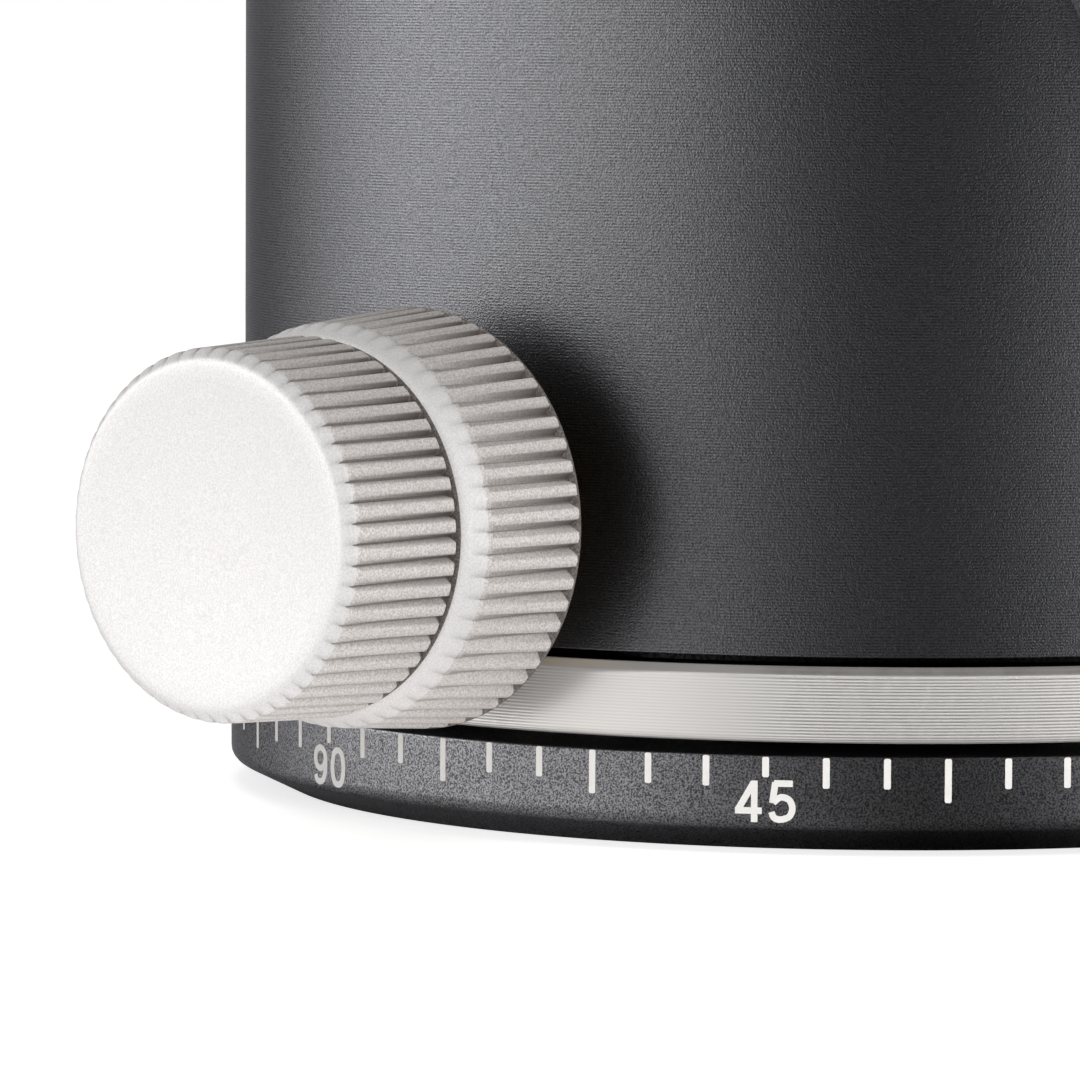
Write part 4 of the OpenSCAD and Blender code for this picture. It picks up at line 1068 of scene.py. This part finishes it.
@dataclass
class Foot:
    """The foot: a black disc with a white degree scale round its wall.

    Attributes:
        radius, height: size of the disc.
        wall: how far the bare wall stays inside the scale's face.
        bevel_w, bevel_h: the bevel under its edge.
        bore_r: radius of the tripod bushing's seat.
        relief_in, relief_out, relief_depth: the ring-shaped relief in the underside.
        screw_circle, screw_turn: where the three foot screws sit.
        screw_hole: profile of a screw's hole, with its seat for the head.
        zero: angle of the scale's zero mark from +X, in degrees.
        mark_lengths: lengths of the marks every 5, 15 and 45 degrees.
        mark_drop, mark_sink: how far below the foot's edge the marks start, and how far inside
            its radius their faces lie.
        paint: thickness of the paint.
        number_h: height of the numbers.
        number_top: height of the numbers' upper edge.
        number_sink, layer_sink: how far inside the radius a number's first stroke lies, and how
            much further each stroke after it.
        layers: strokes that lie at depths of their own.
    """

    radius: float = 30.0
    height: float = 4.35
    wall: float = 0.02
    bevel_w: float = 2.7
    bevel_h: float = 1.3
    bore_r: float = 8.02
    relief_in: float = 18.5
    relief_out: float = 23.5
    relief_depth: float = 0.5
    screw_circle: float = 13.0
    screw_turn: float = 30.0
    screw_hole: Sequence[tuple[float, float]] = (
        (0, -1), (4.02, -1), (4.02, 0.15), (2.02, 2.15), (2.02, 6), (0, 6),
    )
    zero: float = -107.24
    mark_lengths: Corner = (1.32, 1.9, 0.88)
    mark_drop: float = 0.05
    mark_sink: float = 0.004
    paint: float = 0.03
    number_h: float = 1.83
    number_top: float = 3.3
    number_sink: float = 0.002
    layer_sink: float = 0.003
    layers: int = 4

    def disc(self) -> None:
        """Builds the disc with its screw holes."""
        out = self.radius - self.wall
        disc = lathe("foot_disc", soften([
            (self.bore_r, 0.0, 0.1), (self.relief_in, 0.0, 0.05),
            (self.relief_in, self.relief_depth, 0.05), (self.relief_out, self.relief_depth, 0.05),
            (self.relief_out, 0.0, 0.05), (out - self.bevel_w, 0.0, 0.2), (out, self.bevel_h, 0.4),
            (out, self.height, 0.08), (self.bore_r, self.height, 0.0),
        ]), WALL_STEPS, closed=True)
        holes = on_circle(self.screw_hole, 64, self.screw_circle, self.screw_turn, count=3)
        combine(disc, holes, Joining.CUT)
        settle(disc, HEAD_AXIS, "foot", MILLED_BLACK, ["base_plate"])

    def marks(self, tree: ShapeTree) -> None:
        """Lays the scale's marks: three lengths, with the longer ones in place of the shorter.

        Args:
            tree: tree that lays marks of one length.
        """
        work = bmesh.new()
        none_skipped = 1000
        rows = zip((5, 15, 45), (3, 3, none_skipped), self.mark_lengths)
        for step, skip, length in rows:
            part = piece_from("degree_marks", bmesh.new())
            tree.shape(
                part, WHITE_ENAMEL.material(), Count=360 // step, Skip=skip, Length=length,
                First=math.radians(self.zero + step), Radius=self.radius - self.mark_sink,
                Top=self.height - self.mark_drop, Paint=self.paint,
            )
            work.from_mesh(part.data)
            bpy.data.meshes.remove(part.data)
        settle(piece_from("degree_marks", work), HEAD_AXIS, "foot", WHITE_ENAMEL)

    def numbers(self) -> None:
        """Draws the numbers every 45 degrees with a round pen, bent round the wall."""
        work = bmesh.new()
        pitch = DIGIT_W + DIGIT_GAP
        for value in range(0, 360, 45):
            text = str(value)
            start = -(len(text) * pitch - DIGIT_GAP) / 2
            strokes = []
            for i, digit in enumerate(text):
                strokes += [(start + i * pitch, stroke) for stroke in DIGITS[digit]]
            for layer, (left, stroke) in enumerate(strokes):
                path = [(left + x, y) for x, y in smooth_path(stroke)]
                self.pen(work, path, value, layer % self.layers)
        settle(piece_from("degree_numbers", work), HEAD_AXIS, "foot", WHITE_ENAMEL)

    def pen(self, work: bmesh.types.BMesh, path: Profile, value: int, layer: int) -> None:
        """Draws one stroke of a number as a thin raised band on the wall.

        Args:
            work: mesh work that gets the stroke.
            path: the stroke's middle line, in heights of a number.
            value: the number that it belongs to, which says where on the wall it goes.
            layer: place of the stroke over the ones that it crosses.
        """
        left, right = band_sides(path, DIGIT_PEN / 2)
        rows = []
        top = self.radius - self.number_sink - self.layer_sink * layer
        for radius in (top, self.radius - self.paint):
            row = []
            for x, y in left + right[::-1]:
                angle = math.radians(self.zero - value) + x * self.number_h / self.radius
                height = self.number_top - self.number_h * (1 - y)
                row.append(work.verts.new((radius * math.cos(angle), radius * math.sin(angle), height)))
            rows.append(row)
        outer, inner = rows
        count = len(outer)
        for i in range(len(left) - 1):
            j = count - 1 - i
            work.faces.new((outer[i], outer[i + 1], outer[j - 1], outer[j]))
            work.faces.new((inner[j], inner[j - 1], inner[i + 1], inner[i]))
        for i in range(count):
            j = (i + 1) % count
            work.faces.new((outer[j], outer[i], inner[i], inner[j]))
        bmesh.ops.recalc_face_normals(work, faces=work.faces)

    def build(self, marks: ShapeTree) -> None:
        """Builds the whole foot.

        Args:
            marks: tree that lays marks of one length.
        """
        self.disc()
        self.marks(marks)
        self.numbers()


# The four screws between ring and barrel: radius of their circle, angle of the first, their radius
RING_SCREW_CIRCLE, RING_SCREW_TURN, RING_SCREW_R = 26.625, 45.0, 1.27


@dataclass
class Ring:
    """The bright ring between foot and barrel, with an index mark cut in its wall.

    Attributes:
        radius, bore_r: radii of its wall and of its bore.
        low, top: heights of its underside and of its upper edge.
        shelf_r, shelf_top: the shelf that the barrel stands on.
        bevel: bevel at the upper edge.
        mark, mark_w: angle of the index mark from +X, in degrees, and its width.
        head_r: radius of the seat for a screw's head.
    """

    radius: float = 29.9
    bore_r: float = 21.2
    low: float = 4.9
    top: float = 8.18
    shelf_r: float = 28.05
    shelf_top: float = 8.55
    bevel: float = 0.36
    mark: float = -107.24
    mark_w: float = 0.3
    head_r: float = 2.22

    def build(self) -> None:
        """Turns the ring and cuts its mark and screw holes."""
        ring = lathe("index_ring_turned", soften([
            (self.bore_r, self.low, 0.1), (self.radius, self.low, 0.3),
            (self.radius, self.top - self.bevel, 0.12),
            (self.radius - self.bevel, self.top, 0.06), (self.shelf_r, self.top, 0.05),
            (self.shelf_r, self.shelf_top, 0.0), (self.bore_r, self.shelf_top, 0.0),
        ]), WALL_STEPS, closed=True)
        hole = [
            (0, -1), (self.head_r, -1), (self.head_r, 0.08), (RING_SCREW_R, 1.18), (RING_SCREW_R, 5), (0, 5),
        ]
        tools = on_circle(hole, 48, RING_SCREW_CIRCLE, RING_SCREW_TURN, count=4, base=self.low)
        notch = lathe("notch", plug(self.mark_w / math.sqrt(2), self.low - 1, self.top + 1), 4)
        angle = math.radians(self.mark)
        spot = Matrix.Translation((self.radius * math.cos(angle), self.radius * math.sin(angle), 0))
        tools.append(moved(notch, spot @ Matrix.Rotation(angle, 4, "Z")))
        combine(ring, tools, Joining.CUT)
        settle(ring, HEAD_AXIS, "housing", TURNED_SILVER, ["index_ring"])
        # Faces inside the bevel, where the bright turning stops, take the near-black steel finish: partly the
        # ring's black step, partly painted shade for the deep gap under the barrel
        ring.data.materials.append(BLACK_STEEL.material())
        for face in ring.data.polygons:
            if face.center.xy.length < (self.radius - self.bevel - 0.1) * MM:
                face.material_index = 1


@dataclass
class Barrel:
    """The housing: a turned barrel with a boss for the ball control and two drop notches.

    Attributes:
        radius, bore_r: radii of its wall and of its bore.
        low, rim, rim_bevel: heights of its ends, and the bevel at the rim.
        lip_r, lip_h: opening above the ball, and height of its lip.
        shell_r, ball_z: radius and height of the ball's seat.
        boss_r, boss_end, boss_bevel: the round boss.
        notch_r: half the width of a drop notch.
        flare_in, flare_out: how much narrower than a notch the tool for its flare is at the
            inner end, and how much wider at the outer end.
        flare_len: how far inside the flare's start that tool begins.
        bores: axis, radius, start and end of each bore through the wall.
        tap_low, tap_end: heights where the holes for the ring's screws start and end.
    """

    radius: float = 29.35
    bore_r: float = 23.9
    low: float = 8.55
    rim: float = 68.5
    rim_bevel: float = 1.5
    lip_r: float = 21.2
    lip_h: float = 1.2
    shell_r: float = 23.57
    ball_z: float = 60.0
    boss_r: float = 18.7
    boss_end: float = 31.6
    boss_bevel: float = 0.6
    notch_r: float = 9.3
    flare_in: float = 0.3
    flare_out: float = 1.2
    flare_len: float = 0.75
    bores: Sequence[tuple[Axis, float, float, float]] = (
        (PAN_AXIS, 4.42, 20.0, 31.0), (PAN_AXIS, 4.92, 28.4, 31.0),
        (LOCK_AXIS, 6.3, 20.0, 33.0), (LOCK_AXIS, 9.02, 24.5, 33.0),
    )
    tap_low: float = 7.0
    tap_end: float = 13.05

    def core(self) -> bpy.types.Object:
        """Returns the space inside the barrel, to cut with."""
        profile = [(0.0, self.low - 1), (self.bore_r, self.low - 1), (self.bore_r, self.ball_z)]
        end, steps = math.asin((self.rim - self.lip_h - self.ball_z) / self.shell_r), 16
        for angle in (end * k / steps for k in range(steps + 1)):
            profile.append((self.shell_r * math.cos(angle), self.ball_z + self.shell_r * math.sin(angle)))
        profile += soften([
            (self.lip_r, self.rim - self.lip_h - 0.2, 0.0), (self.lip_r, self.rim, 0.7),
            (self.lip_r + 2.0, self.rim + 1.0, 0.0), (0.0, self.rim + 1.0, 0.0),
        ], closed=False)
        return lathe("core", profile, CORE_STEPS)

    def notches(self) -> list[bpy.types.Object]:
        """Returns the two drop notches, each with its flared edge, to cut with."""
        rise = Matrix.Translation((0, 0, self.ball_z))
        # Tools reach this far past the wall, and a flare starts this far inside the notch's edge
        past, inside = 3.0, 0.25
        far = self.radius + past
        tools = [moved(self.trough(self.notch_r, self.notch_r, -far, far), rise)]
        start = math.sqrt(self.radius**2 - self.notch_r**2) - inside
        for side in (0.0, 180.0):
            wide_in, wide_out = self.notch_r - self.flare_in, self.notch_r + self.flare_out
            flare = self.trough(wide_in, wide_out, start - self.flare_len, start + past)
            tools.append(moved(flare, rise @ Matrix.Rotation(math.radians(side), 4, "Z")))
        return tools

    def trough(self, wide_in: float, wide_out: float, near: float, far: float) -> bpy.types.Object:
        """Makes a round-bottomed trough along +X that is open at the top.

        Args:
            wide_in, wide_out: half widths at its inner and outer end.
            near, far: where it starts and ends.

        Returns:
            The trough.
        """
        work = bmesh.new()
        steps, top = 48, 12.0
        arc = [math.pi + math.pi * k / steps for k in range(steps + 1)]
        rows = []
        for x, half in ((near, wide_in), (far, wide_out)):
            bottom = [(half * math.cos(a), half * math.sin(a)) for a in arc]
            rows.append([work.verts.new((x, y, z)) for y, z in [(-half, top), *bottom, (half, top)]])
        count = len(rows[0])
        for i in range(count):
            j = (i + 1) % count
            work.faces.new((rows[0][i], rows[0][j], rows[1][j], rows[1][i]))
        for row in rows:
            work.faces.new(row)
        bmesh.ops.recalc_face_normals(work, faces=work.faces)
        return piece_from("trough", work)

    def build(self) -> None:
        """Builds the barrel and cuts every opening."""
        barrel = lathe("housing_barrel", soften([
            (0.0, self.low, 0.0), (self.radius, self.low, 0.08),
            (self.radius, self.rim - self.rim_bevel, 0.4), (self.radius - self.rim_bevel, self.rim, 0.4),
            (0.0, self.rim, 0.0),
        ], closed=False), WALL_STEPS)
        inner = 5.0
        boss = lathe("boss", soften([
            (0.0, inner, 0.0), (self.boss_r, inner, 0.0), (self.boss_r, self.boss_end, self.boss_bevel),
            (0.0, self.boss_end, 0.0),
        ], closed=False, steps=5), BOSS_STEPS)
        combine(barrel, [moved(boss, LOCK_AXIS.place())], Joining.ADD)
        tools = [self.core(), *self.notches()]
        for axis, radius, low, high in self.bores:
            tools.append(moved(lathe("bore", plug(radius, low, high), BORE_STEPS), axis.place()))
        tap = plug(RING_SCREW_R, self.tap_low, self.tap_end)
        tools += on_circle(tap, 32, RING_SCREW_CIRCLE, RING_SCREW_TURN, count=4)
        combine(barrel, tools, Joining.CUT)
        settle(barrel, HEAD_AXIS, "housing", TURNED_BLACK, ["housing"])


@dataclass
class Ball:
    """The ball with its neck and the flange that the clamp sits on, turned in one piece.

    Attributes:
        centre_z, radius: height of the ball's middle, and its radius.
        neck_r, flare: radius of the neck, and width and height of its foot under the flange.
        flange_r, flange_low, flange_top, flange_bevel: the flange.
        bore_r, bore_low: the bore for the clamp's screw.
    """

    centre_z: float = 60.0
    radius: float = 22.0
    neck_r: float = 8.3
    flare: tuple[float, float] = (1.7, 2.0)
    flange_r: float = 13.0
    flange_low: float = 91.0
    flange_top: float = 94.0
    flange_bevel: float = 0.4
    bore_r: float = 3.05
    bore_low: float = 81.0

    def build(self) -> None:
        """Turns the ball."""
        sweep, steps = math.acos(self.neck_r / self.radius) + math.pi / 2, 96
        arc = []
        for angle in (sweep * k / steps - math.pi / 2 for k in range(steps + 1)):
            arc.append((self.radius * math.cos(angle), self.centre_z + self.radius * math.sin(angle)))
        arc[0] = (0.0, arc[0][1])
        wide, tall = self.flare
        neck = soften([
            (*arc[-1], 0.0), (self.neck_r, self.flange_low - tall, 0.6),
            (self.neck_r + wide, self.flange_low, 0.15), (self.flange_r, self.flange_low, 0.25),
            (self.flange_r, self.flange_top - self.flange_bevel, 0.1),
            (self.flange_r - self.flange_bevel, self.flange_top, 0.1), (self.bore_r, self.flange_top, 0.0),
            (self.bore_r, self.bore_low, 0.0), (0.0, self.bore_low, 0.0),
        ], closed=False)
        settle(lathe("ball_turned", arc + neck[1:], CORE_STEPS), HEAD_AXIS, "ball", LAPPED_BALL, ["ball"])


@dataclass
class Level:
    """The circle printed in the level's lens that the bubble is brought into.

    Attributes:
        x, y: place of its middle.
        low, high: heights of its underside and of its top.
        radius, line: its outer radius, and the width of its line.
    """

    x: float = 20.0
    y: float = 24.6
    low: float = 107.91
    high: float = 107.93
    radius: float = 1.75
    line: float = 0.2

    def build(self) -> None:
        """Lays the circle just above the underside of the lens."""
        inner = self.radius - self.line
        profile = [(inner, self.low), (self.radius, self.low), (self.radius, self.high), (inner, self.high)]
        circle = lathe("level_circle", profile, 64, closed=True)
        settle(circle, Axis((self.x, self.y, 0.0)), "clamp", BLACK_STEEL)


@dataclass
class CarriedOver:
    """A part of the frame whose shape is right: its mesh is welded, its edges are broken.

    Attributes:
        node: the part.
        body: body that it moves with.
        finish: its finish.
        edge: width of its broken edges, in mm; 0 for none.
        weld: distance up to which points are made one, in mm.
        flat, sharp: bend up to which faces are made one, and from which an edge is broken, in
            degrees.
    """

    node: str
    body: str
    finish: Finish
    edge: float = 0.0
    weld: float = 0.0005
    flat: float = 0.5
    sharp: float = 35.0

    def build(self) -> None:
        """Copies the part, welds it, breaks its edges and dresses it."""
        work = bmesh.new()
        work.from_mesh(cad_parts[self.node].data)
        bmesh.ops.scale(work, vec=(1 / MM,) * 3, verts=work.verts)
        bmesh.ops.remove_doubles(work, verts=work.verts, dist=self.weld)
        flat = math.radians(self.flat)
        bmesh.ops.dissolve_limit(work, angle_limit=flat, verts=work.verts, edges=work.edges)
        piece = piece_from(f"{self.node}_dressed", work)
        if self.edge:
            piece.data.shade_smooth()
            step = piece.modifiers.new("edge", "BEVEL")
            step.width, step.segments, step.limit_method = self.edge, 2, "ANGLE"
            step.angle_limit = math.radians(self.sharp)
            even = piece.modifiers.new("even", "WEIGHTED_NORMAL")
            even.mode, even.weight = "FACE_AREA", 100
            bake(piece)
        settle(piece, HEAD_AXIS, self.body, self.finish, [self.node], None if self.edge else SHARP)


# ---------- studio ----------

# Angle from the camera's frame to the head's, in degrees
VIEW_TURN = -53.93
# Height of the point that lamps and cards face, in metres
AIM = 0.04
# Width of the camera's film, in mm, and of the picture, in pixels
FILM_W, PICTURE_W = 36.0, 1080


def heading(left: float, rise: float) -> Vector:
    """Gives a direction as seen from the head.

    Args:
        left: degrees to the left of the camera.
        rise: degrees above level.

    Returns:
        The direction, one long.
    """
    flat = Matrix.Rotation(math.radians(VIEW_TURN - left), 3, "Z") @ Vector((0, -1, 0))
    return flat * math.cos(math.radians(rise)) + Vector((0, 0, math.sin(math.radians(rise))))


class Seen(Enum):
    """Where a lamp shows: in shiny surfaces, and on matt ones."""

    SHINE = (True, False)
    MATT = (False, True)
    BOTH = (True, True)


@dataclass(frozen=True)
class Card:
    """A black card that gives the metal something dark to reflect.

    Attributes:
        name: its name.
        left, rise: its direction, in degrees to the left of the camera and above level.
        away: its distance, in metres.
        size: its width and height, in metres.
    """

    name: str
    left: float
    rise: float
    away: float
    size: tuple[float, float]

    def place(self) -> Matrix:
        """Returns its place, facing the head."""
        direction = heading(self.left, self.rise)
        turn = direction.to_track_quat("Z", "Y").to_matrix().to_4x4()
        return Matrix.Translation(Vector((0, 0, AIM)) + direction * self.away) @ turn

    def build(self) -> None:
        """Stands the card."""
        work = bmesh.new()
        place = self.place() @ Matrix.Diagonal((*self.size, 1.0, 1.0))
        bmesh.ops.create_grid(work, x_segments=1, y_segments=1, size=0.5, matrix=place)
        card = piece_from(self.name, work)
        black, tree = new_material("black_card")
        shader = tree.node("ShaderNodeBsdfPrincipled", {
            "Base Color": linear("0a0a0a"), "Roughness": 1.0, "Specular IOR Level": 0.0,
        })
        tree.node("ShaderNodeOutputMaterial", {"Surface": shader})
        card.data.materials.append(black)
        card.visible_camera = card.visible_shadow = False
        card.visible_diffuse = card.visible_transmission = False


@dataclass(frozen=True)
class Lamp(Card):
    """A soft box that faces the head.

    Attributes:
        power: its power, in watts.
        seen: where it shows.
    """

    power: float
    seen: Seen

    def build(self) -> None:
        """Hangs the lamp."""
        data = bpy.data.lights.new(self.name, "AREA")
        data.shape, data.energy = "RECTANGLE", self.power
        data.size, data.size_y = self.size
        lamp = bpy.data.objects.new(self.name, data)
        lamp.matrix_world = self.place()
        lamp.visible_glossy, lamp.visible_diffuse = self.seen.value
        bpy.context.scene.collection.objects.link(lamp)


@dataclass
class Studio:
    """Camera, lamps, floor and white surroundings.

    Attributes:
        distance, height: how far the camera stands from the axis, and how high, in mm.
        lens_px: focal length in pixels of the picture.
        pitch, yaw, roll: the camera's angles, in radians.
        floor_size, floor_z: half the floor's width and its height, in metres.
        floor_light: how much the floor glows for the camera.
        table_light: how much it lights the head from below.
        room_light: how much the surroundings light the head.
        dark_side: where the studio is dark, in degrees to the left of the camera.
        dark_span: degrees from there at which the mirrored floor starts and ends to brighten.
        mirrored: how bright it is at these angles.
    """

    distance: float = 320.77
    height: float = 36.705
    lens_px: float = 6822.3
    pitch: float = 0.0793
    yaw: float = -0.0483
    roll: float = 0.0048
    floor_size: float = 0.32
    floor_z: float = -0.00002
    floor_light: float = 0.75
    table_light: float = 0.45
    room_light: float = 0.25
    dark_side: float = -8.0
    dark_span: tuple[float, float] = (4.0, 45.0)
    mirrored: tuple[float, float] = (0.27, 2.0)

    def camera(self) -> None:
        """Sets up the camera."""
        cp, sp, cy, sy = math.cos(self.pitch), math.sin(self.pitch), math.cos(self.yaw), math.sin(self.yaw)
        cr, sr = math.cos(self.roll), math.sin(self.roll)
        forward = Vector((sy * cp, cy * cp, -sp))
        right, up = Vector((cy, -sy, 0)), Vector((sy * sp, cy * sp, cp))
        right, up = right * cr + up * sr, up * cr - right * sr
        around = Matrix.Rotation(math.radians(VIEW_TURN), 3, "Z")
        columns = Matrix((around @ right, around @ up, around @ -forward)).transposed().to_4x4()
        spot = around @ Vector((0, -self.distance, 0)) + Vector((0, 0, self.height))
        data = bpy.data.cameras.new("camera")
        data.sensor_width, data.lens = FILM_W, self.lens_px * FILM_W / PICTURE_W
        data.clip_start, data.clip_end = 0.01, 20.0
        camera = bpy.data.objects.new("camera", data)
        camera.matrix_world = Matrix.Translation(spot * MM) @ columns
        bpy.context.scene.collection.objects.link(camera)
        bpy.context.scene.camera = camera

    def mirrored_floor(self, tree: Tree) -> bpy.types.Node:
        """Adds the painted reflection that shiny parts show of the floor: dark towards the camera, as painted
        shade, and pale beside it.

        Args:
            tree: the floor's tree.

        Returns:
            The node that gives the tone.
        """
        spot = tree.node("ShaderNodeTexCoord").outputs["Object"]
        ahead = tree.measure("DOT_PRODUCT", spot, heading(self.dark_side, 0))
        aside = tree.measure("DOT_PRODUCT", spot, heading(self.dark_side + 90, 0))
        off = tree.math("ABSOLUTE", tree.math("ARCTAN2", aside, ahead))
        near, far = self.dark_span
        return tree.fit(off, (math.radians(near), math.radians(far)), self.mirrored)

    def floor(self) -> None:
        """Lays the pale floor, which is white to the eye and keeps the head's shadow."""
        work = bmesh.new()
        place = Matrix.Translation((0, 0, self.floor_z))
        bmesh.ops.create_grid(work, x_segments=1, y_segments=1, size=self.floor_size, matrix=place)
        floor = piece_from("floor", work)
        paper, tree = new_material("white_paper")
        path = tree.node("ShaderNodeLightPath").outputs
        # Shiny parts see the painted floor reflection, all other rays the plain paper
        tone = tree.node("ShaderNodeMix", {
            0: path["Is Glossy Ray"], 2: linear("e8e8e8")[0], 3: self.mirrored_floor(tree),
        })
        plain = tree.node("ShaderNodeBsdfDiffuse", {"Color": tone})
        below = tree.math("MULTIPLY", path["Is Diffuse Ray"], self.table_light)
        glow = tree.math("MULTIPLY_ADD", path["Is Camera Ray"], self.floor_light, below)
        light = tree.node("ShaderNodeEmission", {"Strength": glow})
        lit = tree.node("ShaderNodeAddShader", {0: plain, 1: light})
        tree.node("ShaderNodeOutputMaterial", {"Surface": lit})
        floor.data.materials.append(paper)

    def surroundings(self) -> None:
        """Makes the surroundings white to the eye and a plain grey light on the head."""
        world = bpy.data.worlds.new("studio")
        world.use_nodes = True
        tree = Tree(world.node_tree)
        path = tree.node("ShaderNodeLightPath").outputs
        seen = tree.math("MAXIMUM", path["Is Camera Ray"], path["Is Glossy Ray"])
        seen = tree.math("MAXIMUM", seen, path["Is Transmission Ray"])
        light = tree.fit(seen, (0.0, 1.0), (self.room_light, 1.0))
        back = tree.node("ShaderNodeBackground", {"Color": linear("ffffff"), "Strength": light})
        tree.node("ShaderNodeOutputWorld", {"Surface": back})
        bpy.context.scene.world = world

    def build(self) -> None:
        """Sets up the whole studio."""
        self.camera()
        self.surroundings()
        self.floor()
        for item in (
            Lamp("left_softbox", 89, 2, 0.9, (0.76, 0.7), 4.5, Seen.SHINE),
            Lamp("front_left_softbox", 50, 2, 0.9, (0.5, 0.7), 1.5, Seen.SHINE),
            Lamp("right_softbox", -60, 4, 1.0, (0.35, 0.6), 1.05, Seen.SHINE),
            Lamp("front_fill", -15, 0, 0.8, (0.5, 0.4), 5.3, Seen.MATT),
            Lamp("high_fill", -10, 55, 0.8, (0.5, 0.4), 1.6, Seen.MATT),
            Lamp("top_softbox", 180, 62, 1.0, (0.6, 0.5), 1.2, Seen.BOTH),
            Card("camera_flag", self.dark_side, 0, 1.2, (1.8, 1.8)),
            Card("ceiling_flag", 0, 90, 1.3, (2.2, 2.2)),
        ):
            item.build()
        bpy.context.scene.view_settings.view_transform = "Standard"


# ---------- the head ----------

COATS = {Coat.SMOOTH: BLASTED_SILVER, Coat.CRESTS: KNURLED_SILVER, Coat.HIDDEN: SHADE_PAINTED_SILVER}

GRIPS = [
    Grip("pan_lock_grip", "pan_lock_knob", "pan_lock", PAN_AXIS, 33.09, 6.86, 9.13, 8.69, 56,
         3.02, 38.55, shoulder=1.08, drop=0.56, through_r=1.7, collar=0.12, phase=0.16),
    Grip("pan_drag_grip", "pan_drag_knob", "pan_drag", PAN_AXIS, 40.25, 6.65, 8.16, 7.9, 56,
         1.47, 44.9, bevel=0.47, bevel_len=0.5, dish=0.07, phase=0.02),
    Grip("ball_lock_grip", "ball_lock_knob", "ball_lock", LOCK_AXIS, 33.4, 11.8, 19.0, 18.3, 84,
         6.02, 43.8, shoulder=1.8, drop=1.0, through_r=3.25, collar=0.3),
    Grip("ball_drag_grip", "ball_drag_knob", "ball_drag", LOCK_AXIS, 45.5, 10.2, 17.2, 16.7, 84,
         3.02, 53.7, bevel=0.8, bevel_len=0.9, dish=0.07),
    Grip("clamp_grip", "clamp_knob", "clamp_knob", CLAMP_AXIS, 29.05, 12.0, 9.8, 9.5, 60,
         3.02, 39.05, bevel=0.5, bevel_len=0.6, dish=0.07),
]

CARRIED = [
    CarriedOver("tripod_bushing", "foot", STAINLESS),
    CarriedOver("spindle_screws", "foot", BLACK_STEEL),
    CarriedOver("pan_bushing", "housing", BRASS),
    CarriedOver("lock_bushing", "housing", BRASS),
    CarriedOver("upper_seat_liners", "housing", ACETAL),
    CarriedOver("pan_lock_screw", "pan_lock", STAINLESS),
    CarriedOver("ball_lock_screw", "ball_lock", STAINLESS),
    CarriedOver("clamp_base", "clamp", MILLED_BLACK, 0.12),
    CarriedOver("clamp_fixing_screw", "clamp", BLACK_STEEL),
    CarriedOver("jaw_pins", "clamp", STAINLESS),
    CarriedOver("jaw_springs", "clamp", SPRING_STEEL),
    CarriedOver("level_cup", "clamp", BLASTED_SILVER, 0.1),
    CarriedOver("level_fluid", "clamp", LEVEL_FLUID),
    CarriedOver("level_lens", "clamp", LEVEL_LENS),
    CarriedOver("clamp_jaw", "jaw", MILLED_BLACK, 0.12),
    CarriedOver("clamp_washer", "jaw", STAINLESS),
    CarriedOver("clamp_screw", "clamp_knob", STAINLESS),
]

# Parts of the frame that are shown as they are, with the finish of each group
SHOWN_AS_IT_IS: list[tuple[Finish, list[str]]] = [
    (STAINLESS, ["spindle", "retaining_washer", "retaining_nut", "pan_drag_seat", "pan_drag_screw",
                 "lock_plunger", "ball_drag_seat", "ball_drag_screw"]),
    (ACETAL, ["thrust_washer", "pan_drag_plunger", "ball_drag_plunger", "pressure_cup"]),
    (SPRING_STEEL, ["cup_spring", "pan_drag_spring", "ball_drag_spring"]),
    (BLACK_STEEL, ["ring_screws"]),
    (MILLED_BLACK, ["pan_carrier"]),
    (BRASS, ["pan_brake_shoe"]),
]


def main() -> None:
    """Builds the dressed ball head, piece by piece."""
    logging.basicConfig(level=logging.INFO, format="%(message)s", force=True)
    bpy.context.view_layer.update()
    Studio().build()
    knurl, marks = knurl_tree(), marks_tree()
    Foot().build(marks)
    Ring().build()
    Barrel().build()
    for grip in GRIPS:
        grip.build(knurl, COATS)
    Ball().build()
    Level().build()
    for part in CARRIED:
        part.build()
    for finish, nodes in SHOWN_AS_IT_IS:
        for node in nodes:
            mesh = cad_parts[node].data
            mesh.materials.clear()
            mesh.materials.append(finish.material())
            LOG.info("%s: as the frame has it", node)


if __name__ == "__main__":
    main()
